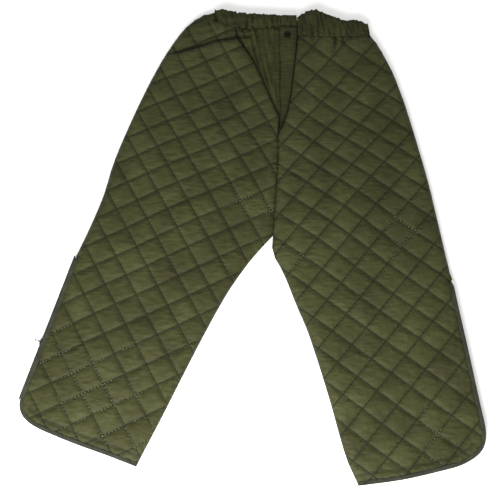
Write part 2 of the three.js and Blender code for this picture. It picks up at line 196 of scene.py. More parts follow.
def four_sides(name):
    """The sides of a long four-cornered node, as open lines: its two long ones, then its ends."""
    loop = outline_of(name)
    before, after = loop - np.roll(loop, 1, 0), np.roll(loop, -1, 0) - loop
    turn = np.arctan2(before[:, 0] * after[:, 1] - before[:, 1] * after[:, 0], (before * after).sum(1))
    corners = sorted(np.argsort(-turn)[:4])
    ring = closed(np.roll(loop, -corners[0], 0))
    stops = [c - corners[0] for c in corners] + [len(loop)]
    sides = [ring[a : b + 1] for a, b in zip(stops[:-1], stops[1:])]
    return sorted(sides, key=lambda side: -lengths(side).sum())


PANELS = [f"{leg}_{face}" for leg in ("right", "left") for face in ("front", "back")]
outlines = {panel: outline_of(f"{panel}_shell") for panel in PANELS}
for panel, outline in outlines.items():
    print(panel, len(outline), "outline points,", round(lengths(closed(outline)).sum()), "mm round")

# %% [markdown]
# ## How the cloth lies
# Front and back panels meet at the sewn side and inseam edges, halfway up. From there the front rolls
# up and over within a finger's width, and the back rolls under. The hems and the zipped edges are open,
# so there each layer stays at its own level. One function gives each layer's level at any place, and
# every piece on that layer uses it, so nothing floats or sinks.

# %% Levels of the two layers
SEAM_LEVEL = sum(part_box("right_zip_slider")[k].z for k in (0, 1)) / 2 / MM
FRONT_STITCH = 20.6  # the front's stitch lines above the surface
BACK_STITCH = 3.4
ROLL = 24  # width of the rolled edge


def leg_seams(leg):
    border = stepped(closed(outlines[f"{leg}_front"]), 3)[:-1]
    found = []
    for seam in ("side", "inseam"):
        sides = four_sides(f"{leg}_{seam}_seam_tape")[:2]
        tape = min(sides, key=lambda line: distance_to(line, closed(border)).mean())
        found.append(run_along(border, tape, 4)[::6])
    return found


def past(line, distance):
    """A line run straight on past its last point."""
    end = line[-1] - line[-2]
    return np.vstack([line, line[-1] + end / np.linalg.norm(end) * distance])


right_side, right_inseam = leg_seams("right")
left_side, left_inseam = leg_seams("left")
HEM_REACH = 12  # from a panel's edge past the hem binding
right_inseam = past(right_inseam[::-1], HEM_REACH)
left_inseam = past(left_inseam, HEM_REACH)
band_sides = {place: four_sides(f"waistband_{place}") for place in ("front_right", "front_left", "back")}
band_ends = [min(band_sides[f"front_{leg}"][2:], key=lambda end: sign * end[:, 0].mean())
             for leg, sign in (("right", 1), ("left", -1))]
sewn = [right_side, right_inseam, left_side, left_inseam, *band_ends]
front_rise = run_along(stepped(closed(outlines["right_front"]), 3)[:-1], closed(outlines["left_front"]), 1)


def waves(points, seed, count, short, long):
    """A smooth random field from about -1 to 1: a sum of plane waves with lengths from short to long."""
    draw = np.random.default_rng(seed)
    total = np.zeros(len(points))
    for _ in range(count):
        turn, phase = draw.uniform(0, 2 * math.pi, 2)
        length = draw.uniform(short, long)
        way = np.array([math.cos(turn), math.sin(turn)]) * 2 * math.pi / length
        total += np.sin(points @ way + phase)
    return total / math.sqrt(count)


def ease(x):
    """From 0 to 1 as x goes from 0 to 1, level at both ends."""
    x = np.clip(x, 0, 1)
    return x * x * (3 - 2 * x)


def fullness(points):
    """0 at a sewn edge, rising round a quarter circle to 1 within the rolled edge."""
    nearest = np.min([distance_to(points, line) for line in sewn], axis=0)
    return np.sqrt(1 - (1 - np.clip(nearest / ROLL, 0, 1)) ** 2)


# The tuck across the right hip: above it the cloth lies lower.
TUCK = np.array([(-205, 380), (-151, 393), (-109, 405), (-77, 417), (-31, 425)], float)
TUCK_DROP = 6.0
TUCK_LIP = 2.2  # height of the lip just below the tuck
TUCK_FOLDS = 1.6  # height of the folds just above it


def tuck(points):
    above = points[:, 1] - np.interp(points[:, 0], TUCK[:, 0], TUCK[:, 1])
    strength = ease((points[:, 0] + 215) / 60) * ease((10 - points[:, 0]) / 20)
    drop = ease((above + 1) / 3) * np.exp(-np.clip(above, 0, None) / 45)
    lip = np.exp(-(((above + 7) / 8) ** 2))
    folds = np.sin((points[:, 1] - 0.25 * points[:, 0]) * 2 * math.pi / 17 + 2 * waves(points, 4, 3, 60, 120))
    return strength * (TUCK_LIP * lip - TUCK_DROP * drop + TUCK_FOLDS * drop * folds)


waist_seams = [min(band_sides[f"front_{leg}"][:2], key=lambda line: line[:, 1].mean())
               for leg in ("right", "left")]


def drawn_in(points):
    """How strongly the waist draws the hip in, from 1 at the waist seam to 0 down the hip."""
    return np.exp(-np.min([distance_to(points, line) for line in waist_seams], axis=0) / 26)


def gathers(points):
    """Upright folds where the waist draws the hips in."""
    return waves(points * (1, 0.16), 6, 7, 11, 22) * drawn_in(points)


# Two small pleats pressed into the left hip under its waistband.
PLEATS = [np.array([(180, 436), (176, 412), (171, 386)], float), np.array([(193, 434), (195, 414)], float)]


def pleated(points):
    """1 in a pleat, fading to 0 beside it and towards its lower end."""
    near = np.max([np.exp(-((distance_to(points, line) / 3.5) ** 2)) for line in PLEATS], axis=0)
    return near * ease((points[:, 1] - 380) / 40)


BILLOW = 1.3  # how far the loose front rises and falls from place to place
RISE_GROOVE = 2.2  # depth of the groove along the front rise seam
GATHER = 1.9  # height of the gathers below the waist seam
PLEAT = 2.2  # depth of a pleat


def front_level(points):
    groove = np.exp(-((distance_to(points, front_rise) / 7) ** 2))
    loose = BILLOW * waves(points, 1, 6, 110, 300) - RISE_GROOVE * groove
    loose = loose + GATHER * gathers(points) - PLEAT * pleated(points)
    right_hip = (points[:, 0] < 0) & (points[:, 1] > 300)
    loose = loose + np.where(right_hip, tuck(points), 0)
    return SEAM_LEVEL + fullness(points) * (FRONT_STITCH - SEAM_LEVEL + loose)


def back_level(points):
    return SEAM_LEVEL + fullness(points) * (BACK_STITCH - SEAM_LEVEL + 0.3 * waves(points, 2, 5, 90, 200))


levels = {"front": front_level, "back": back_level}
print("seam level:", round(SEAM_LEVEL, 2), "sewn lines:", [round(lengths(line).sum()) for line in sewn])

# %% [markdown]
# ## Making meshes
# All pieces go through one function, which turns millimetres to metres, smooths the shading and rides
# the piece on its body.

# %% A helper that makes a piece
def piece(name, points, faces, body="trousers", smooth=True):
    mesh = bpy.data.meshes.new(name)
    mesh.from_pydata((np.asarray(points, float) * MM).tolist(), [], [list(map(int, f)) for f in faces])
    mesh.validate()
    mesh.polygons.foreach_set("use_smooth", [smooth] * len(mesh.polygons))
    made = bpy.data.objects.new(name, mesh)
    bpy.context.scene.collection.objects.link(made)
    if body:
        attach(made, body)
    return made


def mark(obj, name, values):
    """A number for each point, which the material can read."""
    layer = obj.data.attributes.new(name, "FLOAT", "POINT")
    layer.data.foreach_set("value", np.asarray(values, np.float32))


def tube(rings, turned=False, capped=True):
    """Points and faces of a closed skin through a list of rings with as many points each."""
    count, size = len(rings), len(rings[0])
    points = np.vstack(rings)
    faces = []
    for i in range(count - 1):
        for j in range(size):
            k = (j + 1) % size
            faces.append((i * size + j, i * size + k, (i + 1) * size + k, (i + 1) * size + j))
    if capped:
        faces.append(tuple(range(size))[::-1])
        faces.append(tuple((count - 1) * size + j for j in range(size)))
    if turned:
        faces = [f[::-1] for f in faces]
    return points, faces


def joined(parts):
    """Several sets of points and faces as one."""
    points, faces, base = [], [], 0
    for p, f in parts:
        points.append(p)
        faces.extend([tuple(i + base for i in face) for face in f])
        base += len(p)
    return np.vstack(points), faces


# %% [markdown]
# ## The quilting
# The cloth is quilted before it is cut: two families of straight stitch lines cross and make diamonds.
# When the panels are cut and laid, the lines bend a little. Each family is a direction, a spacing and an
# offset, with a few soft bumps for where the cloth has drifted.

# %% Stitch lines of each leg
class Family:
    """Parallel stitch lines: places with the same whole number lie on the same line."""

    def __init__(self, angle, spacing, offset, drifts=()):
        turn = math.radians(angle)
        self.across = np.array([-math.sin(turn), math.cos(turn)])
        self.spacing, self.offset, self.drifts = spacing, offset, drifts

    def drift(self, points):
        total = np.zeros(len(points))
        for x, y, reach, amount in self.drifts:
            total += amount * np.exp(-((points - (x, y)) ** 2).sum(1) / (2 * reach**2))
        return total

    def number(self, points):
        return (points @ self.across - self.offset - self.drift(points)) / self.spacing


QUILTING = {
    "right": (
        Family(-61.5, 44.75, 7.1, [(-400, -350, 60, 3), (0, 130, 70, 5), (-150, 330, 80, -5)]),
        Family(25.0, 44.75, 22.1, [(-130, 20, 60, 4), (-80, 292, 90, -6)]),
    ),
    "left": (
        Family(-36.0, 43.75, 16.1, [(230, -450, 80, -6), (170, 35, 80, 7), (170, 310, 100, -10)]),
        Family(50.0, 46.0, 25.3, [(200, 35, 80, 3.5), (260, 310, 90, -6)]),
    ),
}


def lattice_points(families, numbers):
    """The places with the given pair of line numbers."""
    first, second = families
    frame_of = np.linalg.inv(np.array([first.across, second.across]))
    flat = numbers * (first.spacing, second.spacing) + (first.offset, second.offset)
    places = flat @ frame_of.T
    for _ in range(5):
        moved = flat + np.column_stack([first.drift(places), second.drift(places)])
        places = moved @ frame_of.T
    return places


def quilt_plan(leg, outline, parts, lines=()):
    """A plan of a panel in triangles, with points on every stitch line, and parts steps from one stitch line
    to the next. lines are extra rows of stitches."""
    families = QUILTING[leg]
    step = families[0].spacing / parts
    border = stepped(closed(outline), step)[:-1]
    low, high = border.min(0), border.max(0)
    corners = np.array([(x, y) for x in (low[0], high[0]) for y in (low[1], high[1])])
    reach = [f.number(corners) for f in families]
    spans = [np.arange(math.floor(r.min()) * parts, math.ceil(r.max()) * parts + 1) for r in reach]
    whole = np.stack(np.meshgrid(*spans, indexing="ij"), -1).reshape(-1, 2)
    places = lattice_points(families, whole / parts)
    stitched = (whole % parts == 0).any(1)
    keep = inside(places, outline) & (distance_to(places, closed(outline)) > 0.55 * step)
    for line in lines:
        keep &= distance_to(places, line) > 0.5 * step
    places, stitched = places[keep], stitched[keep]
    rows = [evenly(line, step) for line in lines]
    rows = [row[inside(row, outline) & (distance_to(row, closed(outline)) > 0.55 * step)] for row in rows]
    points = np.vstack([border, *rows, places])
    pinned = np.concatenate([np.ones(len(points) - len(places), bool), stitched])
    made = delaunay_2d_cdt([Vector(p) for p in points], [], [list(range(len(border)))], 1, 1e-7)
    if len(made[0]) != len(points):
        raise ValueError("the triangulation added or merged points")
    return points, np.array(made[2]), pinned, len(border)


# %% [markdown]
# ## Puffs
# Between the stitch lines the wadding pushes the shell out. A real cell is a little pillow: steep beside
# the stitches, flatter in the middle, with small creases that run in from its corners. A cloth simulation
# gives that: the shell is pinned along its stitch lines, given a little spare cloth and blown up from
# inside. The wadding keeps the tops of the puffs down, so they are flattened afterwards and given small
# wrinkles.

# %% Pillow shape and the simulation
PUFF = 5.2  # height of a cell above its stitches


def pillow(numbers):
    """Height of each place in its cell, from 0 on the stitches to 1."""
    part = numbers - np.floor(numbers)
    rise = np.clip(4 * part * (1 - part), 0, 1) ** 0.62
    return rise[:, 0] * rise[:, 1]


def normals_of(points, faces):
    a, b, c = (points[faces[:, k]] for k in range(3))
    flat = np.cross(b - a, c - a)
    total = np.zeros_like(points)
    for k in range(3):
        np.add.at(total, faces[:, k], flat)
    return total / np.linalg.norm(total, axis=1)[:, None]


SIM_SCALE = 10  # the solver works in metres, so small cells are simulated larger
SIM_FRAMES = 18
SPARE_CLOTH = 0.038


def blown_up(points, faces, pinned):
    """The cloth after it is blown up between its pinned points."""
    mesh = bpy.data.meshes.new("shell_cloth")
    mesh.from_pydata((points * MM * SIM_SCALE).tolist(), [], faces.tolist())
    cloth = bpy.data.objects.new("shell_cloth", mesh)
    scene = bpy.context.scene
    scene.collection.objects.link(cloth)
    cloth.vertex_groups.new(name="stitched").add(np.flatnonzero(pinned).tolist(), 1.0, "REPLACE")
    settings = cloth.modifiers.new("puff", "CLOTH").settings
    settings.vertex_group_mass = "stitched"
    settings.quality = 5
    settings.mass = 0.05
    settings.tension_stiffness = settings.compression_stiffness = 12
    settings.shear_stiffness = 4
    settings.bending_stiffness = 0.05
    settings.tension_damping = settings.compression_damping = settings.shear_damping = 8
    settings.air_damping = 2
    settings.use_pressure = True
    settings.uniform_pressure_force = 12
    settings.shrink_min = -SPARE_CLOTH
    settings.effector_weights.gravity = 0
    for number in range(1, SIM_FRAMES + 1):
        scene.frame_set(number)
    result = cloth.evaluated_get(bpy.context.evaluated_depsgraph_get())
    moved = np.empty(len(points) * 3)
    result.data.vertices.foreach_get("co", moved)
    bpy.data.objects.remove(cloth)
    bpy.data.meshes.remove(mesh)
    scene.frame_set(1)
    return moved.reshape(-1, 3) / MM / SIM_SCALE

# %% [markdown]
# ## The quilted pads
# Each panel's shell and wadding become one closed pad: the puffed shell outside, a flatter face where the
# wadding meets the lining, and a thin wall round the edge. The back panels lie on the surface, so their
# puffs are pressed flat there. The lining is a sheet of its own just inside the pad, sewn down along the
# same lines.

# %% Make the four pads and their linings
PARTS = {"front": 12, "back": 9}
SEWN_THICK = 1.0  # pad where it is stitched
FREE_THICK = 3.0  # wadding inside a cell, below the stitch level
LINING_GAP = 0.3
LINING_CLOTH = 0.4
FLOOR_GAP = 0.2
HEM_ROW = 14  # second row of stitches along the hem, in from the panel's edge
ZIP_CLEAR = 27  # the second row stops this far from the zip
FLAT_TOP = 4.4  # the wadding holds the middle of a puff down towards this height
CRINKLE = 0.42  # height of the small wrinkles on a puff


def hem_row(leg, face):
    """The row of stitches that runs inside the hem binding."""
    panel = outlines[f"{leg}_{face}"]
    border = stepped(closed(panel), 3)[:-1]
    hem = eased(run_along(border, closed(outline_of(f"{leg}_{face}_binding")), 1.5), 20)
    row = hem + left_of(hem) * HEM_ROW
    return row[distance_to(row, closed(outline_of(f"{leg}_zip_{face}_coil"))) > ZIP_CLEAR]


def flattened(height):
    """Heights above the surface, with whatever would sink into it pressed flat."""
    soft = 0.8
    return FLOOR_GAP + soft * np.log1p(np.exp((height - FLOOR_GAP) / soft))


def closed_pad(name, outer, inner, faces, border, up, body="trousers"):
    """One skin from an outer and an inner face that share their plan."""
    count = len(outer)
    below = faces[:, ::-1] + count
    ring = np.arange(border)
    ahead = np.roll(ring, -1)
    wall = [(a, a + count, b + count, b) for a, b in zip(ring, ahead)]
    every = [*faces.tolist(), *below.tolist(), *wall]
    if not up:
        every = [f[::-1] for f in every]
    return piece(name, np.vstack([outer, inner]), every, body)


surfaces = {}
LINE_NUMBERS = ("first_line", "second_line")  # whole on a stitch line, for the material to read


def make_panel(leg, face):
    up = 1 if face == "front" else -1
    families = QUILTING[leg]
    rows = [hem_row(leg, face)]
    if (leg, face) == ("right", "front"):
        rows.append(eased(stepped(TUCK[1:], 12), 3))
    plan, faces, pinned, border = quilt_plan(leg, outlines[f"{leg}_{face}"], PARTS[face], rows)
    level = levels[face]
    base = np.column_stack([plan, level(plan)])
    out = normals_of(base, faces) * up
    numbers = np.column_stack([f.number(plan) for f in families])
    from_rows = [distance_to(plan, row) for row in rows]
    from_edge = distance_to(plan, closed(plan[:border]))
    puff = pillow(numbers) * ease(from_edge / 12) * (0.3 + 0.7 * ease(np.min(from_rows, axis=0) / 7))
    lifted = base + out * (0.4 * PUFF * puff)[:, None]
    outer = blown_up(lifted, faces if up > 0 else faces[:, ::-1], pinned)
    height = ((outer - base) * out).sum(1)
    pressed = FLAT_TOP * np.tanh(height / FLAT_TOP) + CRINKLE * waves(plan, 5, 12, 10, 24) * puff
    outer = outer + out * (pressed - height)[:, None]
    height = pressed
    sink = FREE_THICK * puff + SEWN_THICK
    inner = base - out * sink[:, None]
    if face == "back":
        outer[:, 2] = flattened(outer[:, 2])
    pad = closed_pad(f"{leg}_{face}_quilt", outer + out * 0.1, inner, faces, border, up > 0)
    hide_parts(f"{leg}_{face}_shell", f"{leg}_{face}_wadding")
    # Painted shade: the shell is darker where it lies low between the puffs.
    mark(pad, "groove", np.concatenate([1 - np.clip(height / (0.7 * PUFF), 0, 1), np.ones(len(base))]))
    # Painted shade along the sewn rows, deeper at the tuck than at the hem, and in the pleats.
    sewn_down = np.min(from_rows, axis=0)
    row_shade = np.where(from_rows[0] > sewn_down, 1.0, 0.4)
    creases = np.maximum(row_shade * np.exp(-sewn_down / 2.5), pleated(plan) * (face == "front"))
    mark(pad, "crease", np.tile(creases, 2))
    mark(pad, "drawn_in", np.tile(drawn_in(plan) * (face == "front"), 2))
    for which, name in enumerate(LINE_NUMBERS):
        mark(pad, name, np.tile(numbers[:, which], 2))
    top = inner - out * LINING_GAP
    sheet = closed_pad(f"{leg}_{face}_lining_sheet", top, top - out * LINING_CLOTH, faces, border, up > 0)
    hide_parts(f"{leg}_{face}_lining")
    # Painted shade: the lining is darker between its puffs.
    mark(sheet, "groove", np.tile(1 - puff, 2))
    mark(sheet, "crease", np.zeros(2 * len(plan)))
    mark(sheet, "drawn_in", np.zeros(2 * len(plan)))
    for which, name in enumerate(LINE_NUMBERS):
        mark(sheet, name, np.tile(numbers[:, which], 2))
    surfaces[leg, face] = (plan, outer, out)
    return pad, sheet


pads, linings = {}, {}
for leg in ("right", "left"):
    for face in ("front", "back"):
        pads[leg, face], linings[leg, face] = make_panel(leg, face)

# %% [markdown]
# ## Bands that follow an edge
# The hem binding, the seam allowances, the elastics and the casings are all long strips. Each is a small
# section carried along a line: its first number is the distance in from the line, its second the height
# over the layer's level.

# %% A helper that carries a section along a line
def carried(line, section, level):
    """Rings of points. line is a plan, section(i) gives rows of (in from the line, up from the level)."""
    side = left_of(line)
    rings = []
    for i, (place, way) in enumerate(zip(line, side)):
        shape = section(i)
        plan = place + shape[:, :1] * way
        rings.append(np.column_stack([plan, level(plan) + shape[:, 1]]))
    return rings


def rounded_strip(width, thick, corner=3):
    """A flat oval section with its outer edge at 0."""
    turn = np.linspace(-math.pi / 2, math.pi / 2, 2 * corner + 1)
    r = thick / 2
    far = np.column_stack([width - r + r * np.cos(turn), r * np.sin(turn)])
    near = np.column_stack([r - r * np.cos(turn), -r * np.sin(turn)])
    return np.vstack([far, near])


def hem_line(leg, face):
    sides = four_sides(f"{leg}_{face}_binding")[:2]
    outer = max(sides, key=lambda line: distance_to(line, closed(outlines[f"{leg}_{face}"])).mean())
    return eased(evenly(outer, 2), 60)


# %% [markdown]
# ## Hem binding
# A strip of bias tape folded over the raw edge of all three plies and stitched through near its inner
# edge. It goes round the hem, the rounded corner and up the zipped side. The section is a narrow U.

# %% Hem bindings
BINDING_WIDTH = 8.5
BINDING_HALF = 1.7  # half its thickness over the edge
BINDING_WALL = 0.55


def binding_section(swell, pucker):
    """A U lying on its side: two legs over the pad's edge and a round fold outside."""
    turn = np.linspace(math.pi / 2, 1.5 * math.pi, 9)
    half = BINDING_HALF + swell
    outer = np.column_stack([half + half * np.cos(turn), half * np.sin(turn)])
    hollow = half - BINDING_WALL
    inner = np.column_stack([half + hollow * np.cos(turn[::-1]), hollow * np.sin(turn[::-1])])
    lip = np.array([(BINDING_WIDTH, -0.95), (BINDING_WIDTH, -0.95 + BINDING_WALL)])
    top = np.array([(BINDING_WIDTH, 0.95 + pucker), (BINDING_WIDTH * 0.7, 1.25 + pucker)])
    low = np.array([(BINDING_WIDTH * 0.7, -1.25)])
    inside_top = np.array([(BINDING_WIDTH * 0.7, 1.25 + pucker - BINDING_WALL),
                           (BINDING_WIDTH, 0.95 + pucker - BINDING_WALL)])
    inside_low = np.array([(BINDING_WIDTH * 0.7, -1.25 + BINDING_WALL)])
    return np.vstack([top, outer, low, lip, inside_low, inner, inside_top])


bindings = {}
for leg in ("right", "left"):
    for face in ("front", "back"):
        line = hem_line(leg, face)
        ripple = 0.22 * waves(line, 11 if leg == "right" else 12, 6, 9, 22)
        top = line[np.argmax(line[:, 1])]
        taper = 0.3 + 0.7 * ease(np.linalg.norm(line - top, axis=1) / 16)
        rings = carried(line, lambda i: binding_section(0.5 * ripple[i], ripple[i]) * taper[i]
                        + (3.5 * (1 - taper[i]), 0), levels[face])
        made = piece(f"{leg}_{face}_hem_binding", *tube(rings))
        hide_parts(f"{leg}_{face}_binding")
        bindings[leg, face] = (made, line)
        print(made.name, "length", round(lengths(line).sum()), "mm")

# %% [markdown]
# ## Seam allowances
# Inside each leg, the plies' edges are folded together and bound with tape along the side and the
# inseam. Tape is also stitched flat over the two rise seams.

# %% Seam and rise tapes inside
ALLOWANCE_WIDTH = 9
ALLOWANCE_THICK = 1.6


def flat_level(points):
    return np.full(len(points), SEAM_LEVEL)


tapes = []
for leg, seams in (("right", (right_side, right_inseam)), ("left", (left_side, left_inseam))):
    centre = outlines[f"{leg}_front"].mean(0)
    for name, seam in zip(("side", "inseam"), seams):
        line = evenly(seam[:-1] if name == "inseam" else seam, 6)
        if ((centre - line[len(line) // 2]) @ left_of(line)[len(line) // 2]) < 0:
            line = line[::-1]
        section = rounded_strip(ALLOWANCE_WIDTH, ALLOWANCE_THICK) + (2.5, 0)
        rings = carried(line, lambda i: section + (0, 0.3 * math.sin(i * 1.3)), flat_level)
        made = piece(f"{leg}_{name}_bound_seam", *tube(rings))
        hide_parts(f"{leg}_{name}_seam_tape")
        tapes.append(made)
for face, sign in (("front", -1), ("back", 1)):
    side = evenly(four_sides(f"{face}_rise_tape")[0], 6)
    low, high = (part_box(f"{face}_rise_tape")[k].z / MM for k in (0, 1))
    section = rounded_strip(12, 0.9)
    rings = carried(side, lambda i: section + (0, 0.15 * math.sin(i)),
                    lambda points: np.full(len(points), (low + high) / 2))
    made = piece(f"{face}_rise_woven_tape", *tube(rings))
    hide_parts(f"{face}_rise_tape")
    tapes.append(made)

# %% [markdown]
# ## Waistband
# The casing is a tube of plain cloth with an elastic inside that is shorter than the cloth, so the cloth
# gathers into small upright ruffles and its top edge frills. The lower edge is sewn flat to the hips.
# Each length of casing is a sleeve with two walls, open at its ends. The ruffles are a random wave along
# the band that fades out towards the flat lower edge.

# %% Casing and elastic along two edge lines
def band_lines(name, step):
    """The lower and upper edge of a band, both from the wearer's right to left, with as many points each."""
    low, high = sorted(four_sides(name)[:2], key=lambda line: line[:, 1].mean())
    low, high = (line if line[0, 0] < line[-1, 0] else line[::-1] for line in (low, high))
    count = max(lengths(low).sum(), lengths(high).sum()) / step
    even = [evenly(line, lengths(line).sum() / count) for line in (low, high)]
    size = min(len(line) for line in even)
    return [line if len(line) == size else evenly(line, lengths(line).sum() / (size - 1)) for line in even]


ACROSS_TOP = np.linspace(0, 1, 15)
ACROSS_BACK = np.linspace(1, 0, 11)[1:-1]
FLAT_EDGE = 0.2  # share of the casing's height that is sewn flat
CASING_HALF = 2.9
CASING_WALL = 0.55
SEAM_LAP = 1.4  # the casing's lower edge reaches this far into the waist seam
END_DROP = 2.0  # at the side seams the band's top edge comes down by this much
END_LAP = 2.6  # and the band runs this far into the seam
FLY_LAP = 1.6  # the left band meets the fly's end
END_REACH = 16


def sleeve(name, outer, inner, body="trousers", turned=False):
    """A tube with two walls, from rings of its outer and its inner skin."""
    a, fa = tube(outer, turned=turned, capped=False)
    b, fb = tube(inner, turned=not turned, capped=False)
    points, faces = joined([(a, fa), (b, fb)])
    size, count = len(outer[0]), len(outer)
    for ring, flip in ((0, True), (count - 1, False)):
        for j in range(size):
            k = (j + 1) % size
            face = (ring * size + j, ring * size + k, len(a) + ring * size + k, len(a) + ring * size + j)
            faces.append(face if flip == turned else face[::-1])
    return piece(name, points, faces, body)


def casing(name, low, high, level, up, ruffle, seed, body="trousers", thin=1.0):
    """ruffle(i) is how strongly the cloth is gathered at a point along the band."""
    run = np.concatenate([[0], np.cumsum(lengths(low))])
    tall = np.linalg.norm(high - low, axis=1)
    share = np.concatenate([ACROSS_TOP, ACROSS_BACK])
    on_top = np.arange(len(share)) < len(ACROSS_TOP)
    outer, inner = [], []
    along, across = np.meshgrid(run, share, indexing="ij")
    field = np.column_stack([along.ravel(), 0.22 * across.ravel() * tall.mean()])
    gather = waves(field, seed, 7, 5.5, 12).reshape(along.shape)
    frill = waves(field, seed + 1, 6, 6, 13).reshape(along.shape)
    for i in range(len(low)):
        body_part = np.clip((share - FLAT_EDGE) / (1 - FLAT_EDGE), 0, 1)
        bulge = np.sin(math.pi * body_part) ** 0.6
        frilled = ease((share - 0.82) / 0.18)
        height = thin * (0.75 + (CASING_HALF - 0.75) * bulge)
        gathered = ruffle(i) * gather[i] * (0.25 + 0.75 * ease(body_part * 3)) * np.where(on_top, 1.0, 0.4)
        rise = np.where(on_top, height, -height * 0.8) + 0.85 * gathered
        place = low[i] + share[:, None] * (high[i] - low[i])
        shift = 0.9 * ruffle(i) * frilled * frill[i] - SEAM_LAP * (1 - share) ** 3
        place = place + (high[i] - low[i]) / tall[i] * shift[:, None]
        base = level(place)
        ring = np.column_stack([place, base + up * rise])
        middle = np.column_stack([low[i] + (0.08 + 0.84 * share[:, None]) * (high[i] - low[i]), base])
        shrink = CASING_WALL / (CASING_HALF + 1)
        outer.append(ring)
        inner.append(ring + (middle - ring) * np.array([0.9, 0.9, shrink * 2]))
    if up < 0:
        for ring in (*outer, *inner):
            ring[:, 2] = flattened(ring[:, 2])
    made = sleeve(name, outer, inner, body, turned=up < 0)
    # Painted shade in the hollows between the gathers on the casing's top.
    mark(made, "groove", np.tile(np.clip(0.5 - 0.5 * gather * on_top, 0, 1).ravel(), 2))
    mark(made, "drawn_in", np.tile(np.repeat([ruffle(i) for i in range(len(low))], len(share)), 2))
    return made


def elastic(name, low, high, level, up):
    share = np.array([0.27, 0.3, 0.5, 0.74, 0.77, 0.77, 0.74, 0.5, 0.3, 0.27])
    lift = np.array([0.35, 0.6, 0.6, 0.6, 0.35, -0.35, -0.6, -0.6, -0.6, -0.35])
    rings = []
    for i in range(len(low)):
        place = low[i] + share[:, None] * (high[i] - low[i])
        rings.append(np.column_stack([place, level(place) + up * lift + 0.25 * math.sin(i * 0.9)]))
    return piece(name, *tube(rings))


def into_side_seams(low, high, place):
    """Both edges of a band, run into the side seams, with the upper one brought down a little there."""
    ends = {"front_right": [(0, 4)], "front_left": [(0, 4), (-1, -5)], "back": [(0, 4), (-1, -5)]}[place]
    start, low, high = high, low.copy(), high.copy()
    for end, before in ends:
        near = 1 - ease(np.linalg.norm(start - start[end], axis=1) / END_REACH)
        outward = start[end] - start[before]
        at_fly = place == "front_left" and end == 0
        reach = FLY_LAP if at_fly else END_LAP
        lap = (outward / np.linalg.norm(outward) * reach) * near[:, None] ** 2
        down = low - start
        drop = 0 if at_fly else END_DROP
        high += lap + down / np.linalg.norm(down, axis=1)[:, None] * (drop * near)[:, None]
        low += lap
    return low, high


BAND_STEP = 1.3
casings = {}
for place, face, seed in (("front_right", "front", 21), ("front_left", "front", 31), ("back", "back", 41)):
    low, high = band_lines(f"waistband_{place}", BAND_STEP)
    low, high = into_side_seams(low, high, place)
    up = 1 if face == "front" else -1
    made = casing(f"{place}_casing", low, high, levels[face], up, lambda i: 1.0, seed)
    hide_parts(f"waistband_{place}")
    size = (lengths(low).sum() * 1.25, 2 * np.linalg.norm(high - low, axis=1).mean())
    strip = elastic(f"{place}_elastic", low[1:-1], high[1:-1], levels[face], up)
    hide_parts(f"waist_elastic_{place}")
    casings[place] = (made, strip, low, high)
    print(made.name, "cut from mm", [round(s) for s in size])

# %% [markdown]
# ## Fly
# The fly is a plain strip that laps over and snaps shut on an underlap. Beside it the hip cloth is not
# quilted: it is drawn in to the waist seam, so its folds fan out upwards from the foot of the fly. All
# three are thin closed sheets on a fine plan.

# %% Thin sheets on a plan
def thin_sheet(name, outline, step, height, thick, body="trousers"):
    """A closed sheet over an outline. height(points) gives its top."""
    border = stepped(closed(outline), step)[:-1]
    low, high = border.min(0), border.max(0)
    grid = np.stack(np.meshgrid(np.arange(low[0], high[0], step), np.arange(low[1], high[1], step)), -1)
    grid = grid.reshape(-1, 2)
    grid = grid[inside(grid, outline) & (distance_to(grid, closed(outline)) > 0.6 * step)]
    plan = np.vstack([border, grid])
    faces = delaunay_2d_cdt([Vector(p) for p in plan], [], [list(range(len(border)))], 1, 1e-7)[2]
    top = np.column_stack([plan, height(plan)])
    faces = np.array(faces)
    lower = top - (0, 0, thick)
    edge = distance_to(plan, closed(outline))
    top[:, 2] -= 0.35 * thick * np.exp(-edge / 1.2)
    lower[:, 2] += 0.35 * thick * np.exp(-edge / 1.2)
    made = closed_pad(name, top, lower, faces, len(border), True, body)
    corners = plan[faces]
    area = 0.5 * abs(np.cross(corners[:, 1] - corners[:, 0], corners[:, 2] - corners[:, 0])).sum() * MM**2
    size = (plan.max(0) - plan.min(0)) * MM
    return made, plan, tuple(float(s) for s in size), float(area)


FLY_FOOT = np.array([58.0, 205.0])
fold_line = run_along(stepped(closed(outlines["right_front"]), 3)[:-1],
                      closed(outline_of("fly_gathered_facing")), 1.2)


def fan(points, seed, short, long):
    """Folds that run out from the foot of the fly."""
    away = points - FLY_FOOT
    reach = np.linalg.norm(away, axis=1)
    turn = np.arctan2(away[:, 0], away[:, 1])
    return waves(np.column_stack([turn * 230, reach * 0.12]), seed, 7, short, long) * ease(reach / 110)


def facing_height(points):
    sunk = 2.4 * np.exp(-((distance_to(points, fold_line) / 9) ** 2))
    folds = fan(points, 51, 9, 19)
    return front_level(points) + 1.0 - sunk + 2.2 * folds


facing, plan, size, area = thin_sheet("drawn_in_facing", outline_of("fly_gathered_facing"), 2.2,
                                      facing_height, 0.9)
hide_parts("fly_gathered_facing")
# Painted shade in the hollows between the fanned folds.
mark(facing, "groove", np.tile(np.clip(0.5 - 0.6 * fan(plan, 51, 9, 19), 0, 1), 2))


# edge_shade is where shade is painted: along a sheet's edge and in the corner at the foot of the fly.
def edge_shade(plan, outline):
    """1 along a sheet's edge and in the deep corner at the foot of the fly, fading to 0."""
    edge = np.exp(-distance_to(plan, closed(outline)) / 3.2)
    foot = np.exp(-np.linalg.norm(plan - FLY_FOOT, axis=1) / 30)
    return np.tile(np.clip(edge + foot, 0, 1), 2)


# Painted shade along the facing's edges and at the foot of the fly.
mark(facing, "crease", edge_shade(plan, outline_of("fly_gathered_facing")))
mark(facing, "drawn_in", np.ones(2 * len(plan)))

